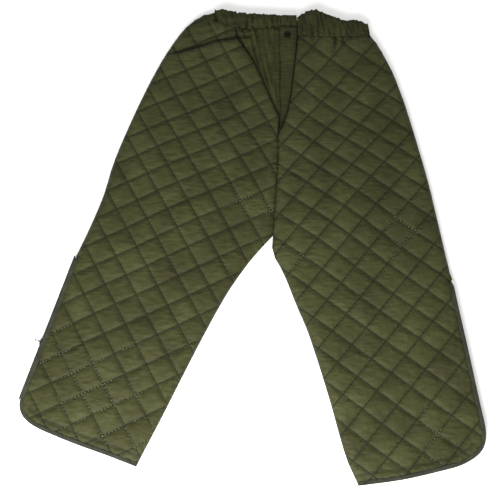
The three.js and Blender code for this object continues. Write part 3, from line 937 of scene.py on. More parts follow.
SNAP = np.array([(a + b) / 2 for a, b in zip(*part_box("snap_cap"))]) / MM
FLY_FOLD_X = frame["joints"][-1]["pos_m"][0] / MM
ROW_Y = 407  # a row of stitches across the strip, below the snap
STRIP_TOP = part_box("fly_flap")[1].z / MM
strip_outline = outline_of("fly_flap")
strip_outline[strip_outline[:, 0] < FLY_FOLD_X + 1, 0] = FLY_FOLD_X - 4
strip_outline[strip_outline[:, 1] > SNAP[1] + 4, 1] += 1.5  # into the waist seam
foot = int(np.argmin(strip_outline[:, 1] + 0.01 * strip_outline[:, 0]))
strip_outline = np.insert(strip_outline, foot + 1, FLY_FOOT + (-1, 4), axis=0)


def strip_height(points):
    edge = distance_to(points, closed(strip_outline))
    rows = np.minimum(np.abs(edge - 3), np.abs(points[:, 1] - ROW_Y))
    sewn_in = 0.5 * np.exp(-((rows / 1.4) ** 2))
    pressed = 0.6 * np.exp(-((np.linalg.norm(points - SNAP[:2], axis=1) / 9) ** 4))
    folds = waves(points * (1, 0.12), 61, 6, 7, 16)
    return STRIP_TOP + 0.25 * folds * ease(np.abs(points[:, 1] - SNAP[1]) / 30) - sewn_in - pressed


strip, plan, size, area = thin_sheet("fly_strip", strip_outline, 2.0, strip_height, 1.2, body=None)
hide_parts("fly_flap")
mark(strip, "groove", np.zeros(2 * len(plan)))
# Painted shade along the strip's edges and at the foot of the fly.
mark(strip, "crease", edge_shade(plan, strip_outline))
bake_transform(strip)

lap_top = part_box("fly_underlap")[1].z / MM


def lap_height(points):
    edge = distance_to(points, closed(outline_of("fly_underlap")))
    return lap_top - 0.25 * np.exp(-(((edge - 3) / 1.4) ** 2)) + 0.12 * waves(points, 62, 5, 12, 30)


lap, plan, size, area = thin_sheet("fly_underlap_sheet", outline_of("fly_underlap"), 2.6, lap_height, 1.0)
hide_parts("fly_underlap")
mark(lap, "groove", np.zeros(2 * len(plan)))
mark(lap, "crease", np.zeros(2 * len(plan)))

low, high = band_lines("waistband_fly_end", BAND_STEP)
END_SMOOTH = 14  # the last of the band lies over the underlap ungathered
end_run = np.concatenate([[0], np.cumsum(lengths(low))])
reach_back = np.column_stack([1.0 + 2.6 * np.exp(-end_run / 4), np.zeros(len(low))])
made = casing("fly_end_casing", low - reach_back, high - reach_back, front_level, 1,
              lambda i: 1 - 0.85 * float(ease(end_run[i] / END_SMOOTH)), 27, body=None, thin=0.75)
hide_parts("waistband_fly_end")
size = (lengths(low).sum() * 1.05, 2 * np.linalg.norm(high - low, axis=1).mean())
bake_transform(made)
fly_end = made
print("fly pieces made; snap at", SNAP.round(1))

# %% [markdown]
# ## Snap fastener
# A ring snap in four pressed pieces. The cap is black enamelled and has a rolled rim round a shallow
# dish. Under it the socket holds two springs round the stud, and a post clenches the stud through the
# underlap. Each is a profile turned about the snap's axis.

# %% Turned pieces
def turned_piece(name, profile, body, sides=56):
    """A profile of (radius, height) from the axis round and back to it, turned about the snap."""
    turn = np.linspace(0, 2 * math.pi, sides, endpoint=False)
    rings = [np.column_stack([SNAP[0] + r * np.cos(turn), SNAP[1] + r * np.sin(turn), np.full(sides, z)])
             for r, z in profile]
    return piece(name, *tube(rings, turned=True), body=body)


def bent(*corners, radius=0.25, steps=4):
    """A profile with its corners rounded."""
    points = np.array(corners, float)
    out = [points[0]]
    for a, b, c in zip(points[:-2], points[1:-1], points[2:]):
        r = min(radius, 0.45 * np.linalg.norm(a - b), 0.45 * np.linalg.norm(c - b))
        p = b + (a - b) / np.linalg.norm(a - b) * r
        q = b + (c - b) / np.linalg.norm(c - b) * r
        for t in np.linspace(0, 1, steps):
            out.append((1 - t) ** 2 * p + 2 * t * (1 - t) * b + t**2 * q)
    return np.array([*out, points[-1]])


cap_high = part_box("snap_cap")[1].z / MM
cap_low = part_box("snap_cap")[0].z / MM
cap_seat = STRIP_TOP + 0.15
TINY = 0.02  # radius of the hole that a turned profile leaves on its axis
snap_cap = turned_piece("enamelled_snap_cap", bent(
    (TINY, cap_low), (1.1, cap_low), (1.1, cap_seat), (7.0, cap_seat), (7.5, cap_seat + 0.5),
    (7.3, cap_high - 0.5), (6.3, cap_high), (5.2, cap_high - 0.15), (4.4, cap_high - 0.7),
    (1.6, cap_high - 0.55), (1.1, cap_high - 0.9), (TINY, cap_high - 0.95), radius=0.5), "fly")
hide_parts("snap_cap")
socket_low, socket_high = (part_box("snap_socket")[k].z / MM for k in (0, 1))
turn_back = [(2.4, socket_low + 0.1), (4.6, socket_low), (5.0, socket_low + 0.4), (4.8, socket_high - 0.3),
             (4.0, socket_high), (2.4, socket_high), (2.6, socket_low + 0.7)]
turn = np.linspace(0, 2 * math.pi, 56, endpoint=False)
rings = [np.column_stack([SNAP[0] + r * np.cos(turn), SNAP[1] + r * np.sin(turn), np.full(56, z)])
         for r, z in bent(*turn_back, turn_back[0], radius=0.2)[:-1]]
ring_points, ring_faces = tube([*rings, rings[0]], capped=False)
count = len(rings) * 56
ring_faces = [tuple(i % count for i in f) for f in ring_faces]
snap_socket = piece("snap_socket_ring", ring_points[:count], [f[::-1] for f in ring_faces], "fly")
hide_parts("snap_socket")
stud_low, stud_high = (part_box("snap_stud")[k].z / MM for k in (0, 1))
snap_stud = turned_piece("snap_stud_pressed", bent(
    (TINY, stud_low), (4.6, stud_low), (5.0, stud_low + 0.25), (4.2, stud_low + 0.55), (1.8, stud_low + 0.6),
    (1.6, stud_low + 1.1), (1.95, stud_high - 0.5), (1.5, stud_high), (TINY, stud_high),
    radius=0.2), "trousers")
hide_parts("snap_stud")
post_low, post_high = (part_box("snap_post")[k].z / MM for k in (0, 1))
snap_post = turned_piece("snap_post_pressed", bent(
    (TINY, post_low), (3.6, post_low), (4.9, post_low + 0.3), (5.0, post_low + 0.7), (1.15, post_low + 0.8),
    (1.15, post_high), (TINY, post_high), radius=0.2), "trousers")
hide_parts("snap_post")

# %% [markdown]
# ## Side zips
# Each zip has two woven tapes, with a nylon coil sewn along the edge of each. The coil is one thread
# wound into flattened turns about a millimetre and a half apart. Metal stops close both ends. The slider
# straddles both coils and carries a pull on a bail, with a wire ring through the pull.

# %% Coils and tapes
COIL_PITCH = 1.5
COIL_WIRE = 0.3
SLIDER_REACH = 6  # the tape stays at its own level under the slider, and dips only beyond it


def chain_line(name):
    a, b = four_sides(name)[:2]
    ends = [(a[0] + b[-1]) / 2, (a[-1] + b[0]) / 2]
    return np.array(ends)


def coil(name, node):
    start, end = chain_line(node)
    low, high = (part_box(node)[k].z / MM for k in (0, 1))
    length = np.linalg.norm(end - start)
    along = (end - start) / length
    out = np.array([along[1], -along[0]])
    turns = math.floor(length / COIL_PITCH)
    steps = turns * 10 + 1
    angle = np.linspace(0, turns * 2 * math.pi, steps)
    run = COIL_WIRE + (length - 2 * COIL_WIRE) * np.linspace(0, 1, steps)
    reach, lift = 1.0 - COIL_WIRE, (high - low) / 2 - COIL_WIRE
    centre = np.column_stack([start + run[:, None] * along + (reach * np.cos(angle))[:, None] * out,
                              (low + high) / 2 + lift * np.sin(angle)])
    return round_wire(name, centre, COIL_WIRE, 5)


def round_wire(name, centre, radius, sides, body="trousers"):
    points, faces = wire_skin(centre, radius, sides)
    return piece(name, points, faces, body)


def wire_skin(centre, radius, sides):
    """A round wire along a line of places in space."""
    ahead = np.gradient(centre, axis=0)
    ahead /= np.linalg.norm(ahead, axis=1)[:, None]
    aside = np.cross(ahead, np.array([0.31, 0.27, 0.91]))
    aside /= np.linalg.norm(aside, axis=1)[:, None]
    over = np.cross(ahead, aside)
    turn = np.linspace(0, 2 * math.pi, sides, endpoint=False)
    rings = [c + radius * (np.outer(np.cos(turn), a) + np.outer(np.sin(turn), o))
             for c, a, o in zip(centre, aside, over)]
    return tube(rings, turned=True)


def zip_tape(name, leg, face):
    node = f"{leg}_zip_{face}_coil"
    start, end = chain_line(node)
    centre = outlines[f"{leg}_front"].mean(0)
    if (centre - (start + end) / 2) @ left_of(np.array([start, end]))[0] < 0:
        start, end = end, start
    line = evenly(np.array([start, end]), 3)
    up = 1 if face == "front" else -1
    strip_low, strip_high = (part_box(f"{leg}_zip_{face}_tape")[k].z / MM - SEAM_LEVEL for k in (0, 1))
    top = strip_high if up > 0 else -strip_low
    path = np.array([(0.0, top - 1.35), (0.1, top - 0.7), (0.7, top - 0.35), (4, top - 0.25),
                     (16.6, top - 0.3)])
    half = 0.22
    rings = []
    for i, place in enumerate(line):
        way = left_of(line)[i]
        cord = 0.1 * math.sin(i * 2.1)
        rim = np.vstack([path + (0, half + cord * 0.2), path[::-1] - (0, half)])
        rim[0, 0] -= half
        rim[-1, 0] += half
        plan = place + rim[:, :1] * way
        room = np.clip((np.abs(levels[face](plan) - SEAM_LEVEL) - 4.6) / (top - 0.4), 0.05, 1)
        share = np.where(rim[:, 0] > SLIDER_REACH, room, 1)
        rings.append(np.column_stack([plan, SEAM_LEVEL + up * rim[:, 1] * share]))
    return piece(name, *tube(rings, turned=up < 0))


zip_parts = {"coil": [], "tape": []}
for leg in ("right", "left"):
    for face in ("front", "back"):
        made = coil(f"{leg}_{face}_coil_turns", f"{leg}_zip_{face}_coil")
        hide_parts(f"{leg}_zip_{face}_coil")
        zip_parts["coil"].append(made)
        made = zip_tape(f"{leg}_{face}_zip_woven_tape", leg, face)
        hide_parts(f"{leg}_zip_{face}_tape")
        zip_parts["tape"].append(made)

# %% [markdown]
# The slider, its pull and the stops are cast in zinc, so their edges are soft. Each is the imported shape
# with its corners welded, rounded and smoothed, as a new piece.

# %% Rounded castings
def cast(name, node, body, rounding):
    mesh = nodes[node].data.copy()
    mesh.name = name
    mesh.materials.clear()
    made = bpy.data.objects.new(name, mesh)
    bpy.context.scene.collection.objects.link(made)
    weld = made.modifiers.new("weld", "WELD")
    weld.merge_threshold = 1e-6
    flat = made.modifiers.new("flat faces", "DECIMATE")
    flat.decimate_type = "DISSOLVE"
    flat.angle_limit = math.radians(2)
    bevel = made.modifiers.new("rounded edges", "BEVEL")
    bevel.width = rounding * MM
    bevel.segments = 3
    bevel.limit_method = "ANGLE"
    bevel.angle_limit = math.radians(35)
    bevel.use_clamp_overlap = True
    bevel.harden_normals = True
    result = bpy.data.meshes.new_from_object(made.evaluated_get(bpy.context.evaluated_depsgraph_get()))
    made.modifiers.clear()
    made.data = result
    result.polygons.foreach_set("use_smooth", [True] * len(result.polygons))
    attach(made, body)
    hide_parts(node)
    return made


RING_WIRE = 0.65
castings = []
for leg in ("right", "left"):
    for stop in ("first", "last"):
        castings.append(cast(f"{leg}_{stop}_zip_stop", f"{leg}_zip_{stop}_stop", "trousers", 0.3))
    castings.append(cast(f"{leg}_cast_slider", f"{leg}_zip_slider", f"{leg}_slider", 0.3))
    castings.append(cast(f"{leg}_cast_pull", f"{leg}_zip_pull", f"{leg}_pull", 0.22))
    source = np.array([v.co[:] for v in nodes[f"{leg}_zip_pull_ring"].data.vertices]) / MM
    middle = source.mean(0)
    spread = source - middle
    radius = np.linalg.norm(spread, axis=1).max() - 0.55
    flat_x, flat_y = np.linalg.svd(spread, full_matrices=False)[2][:2]
    turn = np.linspace(0.15, 2 * math.pi + 0.05, 49)
    loop = middle + radius * (np.outer(np.cos(turn), flat_x) + np.outer(np.sin(turn), flat_y))
    ring = round_wire(f"{leg}_pull_wire_ring", loop, RING_WIRE, 10, f"{leg}_pull")
    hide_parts(f"{leg}_zip_pull_ring")
    castings.append(ring)
print("zip pieces:", sum(map(len, zip_parts.values())) + len(castings))

# %% [markdown]
# ## Thread
# Lock stitches about three to the centimetre, sunk in the seams they make. A stitch is a short, thick
# dash of thread with a gap where it dives. They are drawn a little coarser than real thread, which would
# be too fine to see. Along some stretches the paler bobbin thread is pulled up and shows as light dots.

# %% Sew rows of stitches
PITCH = 4.2
THREAD = 0.3  # radius
DASH = np.array([(0.0, 0.3, -0.12), (0.2, 1.0, 0.12), (0.5, 1.05, 0.2), (0.8, 1.0, 0.12), (1.0, 0.3, -0.12)])


def showing(places, seed, spots):
    """Where the bobbin thread shows: soft spots, broken up by noise."""
    near = np.zeros(len(places))
    for x, y, reach in spots:
        near = np.maximum(near, np.exp(-((places - (x, y)) ** 2).sum(1) / (2 * reach**2)))
    return near + 0.33 * waves(places, seed, 6, 30, 90) * (near > 0.1) > 0.68


def sew(name, rows, up=1, pitch=PITCH, thread=THREAD, seed=70, body="trousers", spots=()):
    """Dashes of thread along rows of places in space."""
    parts, middles, odd = [], [], []
    turn = np.linspace(0, 2 * math.pi, 5, endpoint=False)
    for row in rows:
        even = evenly(np.asarray(row, float), pitch)
        if len(even) < 3:
            continue
        for count, (a, b) in enumerate(zip(even[:-1], even[1:])):
            ahead = (b - a) / np.linalg.norm(b - a)
            aside = np.cross(ahead, (0, 0, 1.0))
            over = np.cross(aside, ahead)
            rings = [a + (b - a) * (0.14 + 0.72 * t) + over * (lift * up)
                     + thread * size * (np.outer(np.cos(turn), aside) + np.outer(np.sin(turn), over))
                     for t, size, lift in DASH]
            parts.append(tube(rings, turned=True))
            middles.append((a + b)[:2] / 2)
            odd.append(count % 2)
    points, faces = joined(parts)
    made = piece(name, points, faces, body)
    pale = showing(np.array(middles), seed, spots) & (np.array(odd) == 1)
    mark(made, "pale", np.repeat(pale, len(DASH) * 5))
    return made


def runs_inside(places, keep):
    """The parts of a line that are kept, as separate lines."""
    runs, run = [], []
    for place, ok in zip(places, keep):
        if ok:
            run.append(place)
        elif run:
            runs.append(np.array(run))
            run = []
    return [r for r in [*runs, np.array(run)] if len(r) > 4]


def quilting_rows(leg, face):
    """Every stitch line of a panel, as rows of places in plan."""
    outline = outlines[f"{leg}_{face}"]
    families = QUILTING[leg]
    low, high = outline.min(0), outline.max(0)
    corners = np.array([(x, y) for x in (low[0], high[0]) for y in (low[1], high[1])])
    rows = []
    for which in (0, 1):
        first, second = families[which].number(corners), families[1 - which].number(corners)
        fine = np.arange(math.floor(second.min()), math.ceil(second.max()), 0.05)
        for number in range(math.floor(first.min()), math.ceil(first.max()) + 1):
            pair = np.column_stack([np.full(len(fine), number), fine])
            places = lattice_points(families, pair if which == 0 else pair[:, ::-1])
            keep = inside(places, outline) & (distance_to(places, closed(outline)) > 1.5)
            rows.extend(runs_inside(places, keep))
    return rows


def on_layer(row, face, lift):
    sign = 1 if face == "front" else -1
    return np.column_stack([row, levels[face](row) + sign * lift])


# Soft spots where the bobbin thread shows: x, y and reach.
PALE_SPOTS = {
    "right": [(-305, -320, 75), (-215, -400, 45), (-370, -240, 45), (-25, 55, 28), (30, 45, 16)],
    "left": [(305, 0, 38), (98, -70, 22), (350, -400, 30)],
}
FINE_PITCH = 3.4
threads = []
for leg in ("right", "left"):
    rows = [on_layer(row, "front", 0.35) for row in quilting_rows(leg, "front")]
    threads.append(sew(f"{leg}_front_quilting_thread", rows, pitch=FINE_PITCH,
                       seed=71 if leg == "right" else 75, spots=PALE_SPOTS[leg]))
    rows = [on_layer(row, "back", -0.1) for row in quilting_rows(leg, "back")]
    threads.append(sew(f"{leg}_back_quilting_thread", rows, up=-1))
    rows = []
    for face in ("front", "back"):
        line = bindings[leg, face][1]
        edge = line + left_of(line) * (BINDING_WIDTH - 1.6)
        rows.append(on_layer(edge, face, 1.25))
        second = hem_row(leg, face)
        second = second[inside(second, outlines[f"{leg}_{face}"])]
        rows.append(on_layer(second, face, 0.3))
    threads.append(sew(f"{leg}_hem_thread", rows, pitch=3.6, spots=PALE_SPOTS[leg][-1:]))
band_rows = []
for place in ("front_right", "front_left"):
    low, high = casings[place][2:]
    inner = low + FLAT_EDGE * (high - low)
    band_rows.append(on_layer(inner, "front", 0.95))
threads.append(sew("waist_seam_thread", band_rows, pitch=3.2))
FOOT_CLEAR = 30  # the strip's edge stitches start this far above the foot, clear of the leg when it folds
strip_ring = closed(strip_outline)
right_edge = run_along(stepped(strip_ring, 2)[:-1], closed(outlines["left_front"]), 2.2)
right_edge = right_edge[right_edge[:, 1] > FLY_FOOT[1] + FOOT_CLEAR]
sewn_edge = right_edge + left_of(right_edge) * 3
rows = [np.column_stack([sewn_edge, strip_height(sewn_edge) + 0.2])]
across = evenly(np.array([(FLY_FOLD_X + 6, ROW_Y), (92.0, ROW_Y)]), 2)
rows.append(np.column_stack([across, strip_height(across) + 0.2]))
fly_thread = sew("fly_thread", rows, pitch=3.0, thread=0.26, body="fly")
threads.append(fly_thread)
print("rows sewn; pieces of thread:", len(threads))

# %% [markdown]
# ## Materials
# A colour is written as the sRGB hex value that a maker would match it to, and one function turns it to
# linear. One more function adds a shader node, with its settings and its links, and gives back one of
# the node's outputs. So each node's result goes straight into the next.

# %% Colour and shader helpers
def linear(code):
    parts = [int(code[i : i + 2], 16) / 255 for i in (1, 3, 5)]
    return (*[c / 12.92 if c <= 0.04045 else ((c + 0.055) / 1.055) ** 2.4 for c in parts], 1.0)


def add_node(material, kind, inputs=None, out=0, stops=(), **settings):
    """A new node's output. inputs are numbers, colours or other outputs, and stops a ramp's colours."""
    made = material.node_tree.nodes.new(f"ShaderNode{kind}")
    for name, value in settings.items():
        setattr(made, name, value)
    for socket, value in (inputs or {}).items():
        if isinstance(value, bpy.types.NodeSocket):
            material.node_tree.links.new(value, made.inputs[socket])
        else:
            made.inputs[socket].default_value = value
    if stops:
        band = made.color_ramp.elements
        while len(band) < len(stops):
            band.new(0.5)
        for element, (where, code) in zip(band, stops):
            element.position = where
            element.color = linear(code)
    return made.outputs[out] if len(made.outputs) else None


def new_material(name):
    """A material, the function that adds nodes to it, and the place on the piece."""
    material = bpy.data.materials.new(name)
    material.use_nodes = True
    material.node_tree.nodes.clear()
    add = partial(add_node, material)
    return material, add, add("TexCoord", out="Object")


def blotch(size):
    """The scale of a noise whose blotches are about size millimetres across."""
    return 1 / (size * MM)


def ridges(size):
    """The scale of a wave whose ridges are size millimetres apart."""
    return 0.314 / (size * MM)


# %% [markdown]
# ### Nylon taffeta
# Shell, lining and casing are plain-woven nylon with a slight sheen, dyed olive. The dye and the folds
# leave soft differences of tone from place to place. The cloth is darker down in the stitch lines and
# hollows: painted shade where light doesn't reach, and partly the dust that gathers there. Folds, edges
# and sewn rows get painted shade too. Real threads are a fifth of a millimetre apart: they are drawn at
# more than a millimetre, so that the weave shows. Over the weave lie fine creases, longer pulled wrinkles
# in patches, and small puckers that cross each stitch line.

# %% Taffeta in four depths of colour
WEAVE = 1.1
CREASE = 9
WRINKLE = 18  # length of the fine pulled wrinkles; they are about a third as wide
WRINKLE_TURN = math.radians(-20)
CELL = 45  # from one stitch line to the next
SEWN_LINE = 3.2  # half the width of the painted shade in the line that the stitches pull in
PUCKER = 6.5  # from one small pucker to the next along a stitch line
PUCKER_REACH = 12
RUFFLE = 5  # width of the small upright ruffles where the waist draws the cloth in
FLECKS = 0.35  # how far the small paler flecks go towards the light tone
FOLD_SHADE = 0.75  # how far painted shade darkens a fold, an edge or a sewn row


def near_stitches(add, place):
    """How near a place is to a stitch line, from 0 to 1, and the height of the puckers across the line."""
    numbers = [add("Attribute", out="Fac", attribute_name=name) for name in LINE_NUMBERS]
    apart = []
    for number in numbers:
        share = add("Math", {0: number, 1: 0.5}, operation="PINGPONG")
        apart.append(add("Math", {0: share, 1: CELL}, operation="MULTIPLY"))
    nearest = add("Math", {0: apart[0], 1: apart[1]}, operation="MINIMUM")
    shake = add("TexNoise", {"Vector": place, "Scale": blotch(5), "Detail": 2, "Roughness": 0.55}, "Fac")
    shaky = add("Math", {0: shake, 1: 1.6, 2: nearest}, operation="MULTIPLY_ADD")
    # The stitch line's painted shade: 1 on the stitches, fading to 0 beside them.
    line = add("MapRange", {"Value": shaky, "From Min": 0.9, "From Max": SEWN_LINE, "To Min": 1, "To Max": 0},
               interpolation_type="SMOOTHSTEP")
    wander = add("TexNoise", {"Vector": place, "Scale": blotch(9), "Detail": 2, "Roughness": 0.55}, "Fac")
    drawn = add("Math", {0: wander, 1: 14}, operation="MULTIPLY")
    heights = []
    for near, along in zip(apart, numbers[::-1]):
        phase = add("Math", {0: along, 1: 2 * math.pi * CELL / PUCKER, 2: drawn}, operation="MULTIPLY_ADD")
        wave = add("Math", {0: phase}, operation="SINE")
        strength = add("MapRange", {"Value": near, "From Max": PUCKER_REACH, "To Min": 1, "To Max": 0},
                       interpolation_type="SMOOTHSTEP")
        heights.append(add("Math", {0: wave, 1: strength}, operation="MULTIPLY"))
    return line, add("Math", {0: heights[0], 1: heights[1]}, operation="ADD")


def taffeta(name, dark, base, light, groove_shade_share=0.22, rough=0.62, crease=0.8, quilted=False):
    material, add, place = new_material(name)
    tone = add("TexNoise", {"Vector": place, "Scale": blotch(55), "Detail": 4, "Roughness": 0.55}, "Fac")
    small = add("TexNoise", {"Vector": place, "Scale": blotch(14), "Detail": 3, "Roughness": 0.55}, "Fac")
    dyed = add("ValToRGB", {"Fac": tone}, stops=((0.32, dark), (0.5, base), (0.68, light)))
    paler = add("Math", {0: small, 1: FLECKS}, operation="MULTIPLY")
    colour = add("Mix", {0: paler, 6: dyed, 7: linear(light)}, 2, data_type="RGBA")
    groove, folded, pull = (add("Attribute", out="Fac", attribute_name=mark_name)
                            for mark_name in ("groove", "crease", "drawn_in"))
    # Painted shade: darker down in the grooves and hollows, and along creases, edges and sewn rows.
    depth = add("Math", {0: groove, 1: 2.2}, operation="POWER")
    painted_shade_shares = [add("Math", {0: depth, 1: groove_shade_share}, operation="MULTIPLY"),
                   add("Math", {0: folded, 1: FOLD_SHADE}, operation="MULTIPLY")]
    soft = add("TexNoise", {"Vector": place, "Scale": blotch(CREASE), "Detail": 2, "Roughness": 0.4}, "Fac")
    slanted = add("Mapping", {"Vector": place, "Rotation": (0, 0, WRINKLE_TURN), "Scale": (1, 2.8, 1)})
    fine = add("TexNoise", {"Vector": slanted, "Scale": blotch(WRINKLE), "Detail": 1,
                            "Roughness": 0.3}, "Fac")
    patchy = add("TexNoise", {"Vector": place, "Scale": blotch(40), "Detail": 2, "Roughness": 0.55}, "Fac")
    patches = add("Math", {0: patchy, 1: 0.25}, operation="SUBTRACT")
    wrinkled = add("Math", {0: fine, 1: patches}, operation="MULTIPLY")
    upright = add("Mapping", {"Vector": place, "Scale": (1, 0.14, 1)})
    narrow = add("TexNoise", {"Vector": upright, "Scale": blotch(RUFFLE), "Detail": 1,
                              "Roughness": 0.4}, "Fac")
    ruffled = add("Math", {0: narrow, 1: pull}, operation="MULTIPLY")
    relief = [(soft, crease, 1.2), (wrinkled, crease, 7.0), (ruffled, 0.9, 4.0)]
    if quilted:
        # Painted shade along the stitch lines, with less of it where the waist draws the cloth in.
        line, puckers = near_stitches(add, place)
        share = add("Math", {0: pull, 1: -0.4, 2: 0.62}, operation="MULTIPLY_ADD")
        painted_shade_shares.append(add("Math", {0: line, 1: share}, operation="MULTIPLY"))
        relief.append((puckers, 0.3, 0.5))
    # Each share darkens the colour towards the dark tone: painted shade.
    for share in painted_shade_shares:
        colour = add("Mix", {0: share, 6: colour, 7: linear(dark)}, 2,
                     data_type="RGBA", blend_type="MULTIPLY")
    warp, weft = (add("TexWave", {"Vector": place, "Scale": ridges(WEAVE)}, "Fac", bands_direction=way)
                  for way in "XY")
    relief.append((add("Math", {0: warp, 1: weft}, operation="ADD"), 0.12, 0.12))
    normal = {}
    for height, strength, deep in relief:
        inputs = {"Height": height, "Strength": strength, "Distance": deep * MM}
        normal = {"Normal": add("Bump", inputs | normal)}
    roughness = add("MapRange", {"Value": small, "To Min": rough - 0.06, "To Max": rough + 0.08})
    surface = add("BsdfPrincipled", {"Base Color": colour, "Roughness": roughness, "IOR": 1.53,
                                     "Specular IOR Level": 0.1, "Sheen Weight": 0.02,
                                     "Sheen Roughness": 0.45} | normal)
    add("OutputMaterial", {"Surface": surface})
    return material


shell_cloth = taffeta("olive_quilted_nylon_taffeta", "#2b2b15", "#33341b", "#3b3d22", quilted=True)
lining_cloth = taffeta("olive_lining_taffeta", "#272918", "#2f311c", "#373a23", rough=0.68, quilted=True)
plain_cloth = taffeta("olive_plain_taffeta", "#282914", "#303118", "#38391e", crease=0.9)
# The casing's colours are darker than the shell's, with more groove shade: painted shade for the darker waist
# and its gathers.
casing_cloth = taffeta("gathered_olive_taffeta", "#252613", "#2d2e17", "#35361c",
                       groove_shade_share=0.5, crease=0.9)

# %% [markdown]
# ### Tapes and thread
# The hem is bound with a cotton-rich bias tape, greyer than the shell, with its threads at 45 degrees.
# The zip and seam tapes are herringbone woven. The elastic is knitted in ribs. The sewing thread is spun
# polyester, with the twist showing.

# %% Tapes, elastic and thread
def woven_tape(name, dark, base, light, angle, size=1.0):
    material, add, place = new_material(name)
    turned = add("Mapping", {"Vector": place, "Rotation": (0, 0, math.radians(angle))})
    ribs = add("TexWave", {"Vector": turned, "Scale": ridges(size)}, "Fac", bands_direction="X")
    cross = add("TexWave", {"Vector": turned, "Scale": ridges(size * 0.7)}, "Fac", bands_direction="Y")
    worn = add("TexNoise", {"Vector": place, "Scale": blotch(22), "Detail": 4, "Roughness": 0.55}, "Fac")
    colour = add("ValToRGB", {"Fac": worn}, stops=((0.3, dark), (0.5, base), (0.72, light)))
    share = add("Math", {0: ribs, 1: 0.25}, operation="MULTIPLY")
    fuzz = add("Mix", {0: share, 6: colour, 7: linear(dark)}, 2, data_type="RGBA")
    height = add("Math", {0: ribs, 1: cross}, operation="ADD")
    normal = add("Bump", {"Height": height, "Strength": 0.45, "Distance": 0.25 * MM})
    surface = add("BsdfPrincipled", {"Base Color": fuzz, "Roughness": 0.86, "IOR": 1.5, "Normal": normal,
                                     "Specular IOR Level": 0.3, "Sheen Weight": 0.05,
                                     "Sheen Roughness": 0.5})
    add("OutputMaterial", {"Surface": surface})
    return material


bias_tape = woven_tape("grey_green_bias_tape", "#202217", "#2a2c20", "#353728", 45, 1.2)
herringbone = woven_tape("herringbone_polyester_tape", "#1e2118", "#282b20", "#323529", 60, 1.0)


def knitted_elastic(name):
    material, add, place = new_material(name)
    ribs = add("TexWave", {"Vector": place, "Scale": ridges(1.6)}, "Fac", bands_direction="X")
    rows = add("TexWave", {"Vector": place, "Scale": ridges(2.2)}, "Fac", bands_direction="Y")
    tone = add("TexNoise", {"Vector": place, "Scale": blotch(18), "Detail": 3, "Roughness": 0.55}, "Fac")
    colour = add("ValToRGB", {"Fac": tone}, stops=((0.3, "#8d8c80"), (0.7, "#b3b2a6")))
    height = add("Math", {0: ribs, 1: rows}, operation="MULTIPLY")
    normal = add("Bump", {"Height": height, "Strength": 0.6, "Distance": 0.4 * MM})
    surface = add("BsdfPrincipled", {"Base Color": colour, "Roughness": 0.9, "IOR": 1.5, "Normal": normal})
    add("OutputMaterial", {"Surface": surface})
    return material


elastic_knit = knitted_elastic("knitted_elastic")


def spun_thread(name, dark, base, pale):
    material, add, place = new_material(name)
    shown = add("Attribute", out="Fac", attribute_name="pale")
    blend = add("TexNoise", {"Vector": place, "Scale": blotch(6), "Detail": 3, "Roughness": 0.55}, "Fac")
    tone = add("ValToRGB", {"Fac": blend}, stops=((0.3, dark), (0.7, base)))
    colour = add("Mix", {0: shown, 6: tone, 7: linear(pale)}, 2, data_type="RGBA")
    twist = add("TexWave", {"Vector": place, "Scale": ridges(0.8)}, "Fac", bands_direction="DIAGONAL")
    normal = add("Bump", {"Height": twist, "Strength": 0.4, "Distance": 0.1 * MM})
    surface = add("BsdfPrincipled", {"Base Color": colour, "Roughness": 0.7, "IOR": 1.55, "Normal": normal})
    add("OutputMaterial", {"Surface": surface})
    return material


thread_finish = spun_thread("olive_spun_polyester_thread", "#1e2014", "#27291a", "#8f9179")

# %% [markdown]
# ### Zips and snap
# The coils are moulded nylon. The slider, pull, ring and stops are zinc with a greenish-grey enamel that
# has rubbed to bare metal in small places. The snap's cap is black enamel over brass, glossy and fine
# scratched. The hidden snap pieces are plain nickelled brass.

# %% Nylon, enamelled zinc, black enamel and nickel
def moulded_nylon(name):
    material, add, place = new_material(name)
    tone = add("TexNoise", {"Vector": place, "Scale": blotch(9), "Detail": 3, "Roughness": 0.55}, "Fac")
    colour = add("ValToRGB", {"Fac": tone}, stops=((0.3, "#30342a"), (0.7, "#3d4235")))
    grain = add("TexNoise", {"Vector": place, "Scale": blotch(0.8), "Detail": 2, "Roughness": 0.55}, "Fac")
    normal = add("Bump", {"Height": grain, "Strength": 0.2, "Distance": 0.05 * MM})
    surface = add("BsdfPrincipled", {"Base Color": colour, "Roughness": 0.42, "IOR": 1.53, "Normal": normal})
    add("OutputMaterial", {"Surface": surface})
    return material


def rubbed_enamel(name, base, light, bare, rubbed, rough, gloss=0.5):
    material, add, place = new_material(name)
    spots = add("TexNoise", {"Vector": place, "Scale": blotch(3.5), "Detail": 5, "Roughness": 0.7}, "Fac")
    worn = add("MapRange", {"Value": spots, "From Min": rubbed, "From Max": rubbed + 0.05})
    tone = add("TexNoise", {"Vector": place, "Scale": blotch(6), "Detail": 3, "Roughness": 0.55}, "Fac")
    paint = add("ValToRGB", {"Fac": tone}, stops=((0.35, base), (0.65, light)))
    colour = add("Mix", {0: worn, 6: paint, 7: linear(bare)}, 2, data_type="RGBA")
    scratches = add("TexNoise", {"Vector": place, "Scale": blotch(1.2), "Detail": 4, "Roughness": 0.6}, "Fac")
    roughness = add("MapRange", {"Value": scratches, "To Min": rough - 0.08, "To Max": rough + 0.12})
    metal = add("MapRange", {"Value": worn, "To Max": 0.9})
    normal = add("Bump", {"Height": scratches, "Strength": 0.15, "Distance": 0.06 * MM})
    surface = add("BsdfPrincipled", {"Base Color": colour, "Roughness": roughness, "Metallic": metal,
                                     "IOR": 1.5, "Specular IOR Level": gloss, "Normal": normal})
    add("OutputMaterial", {"Surface": surface})
    return material


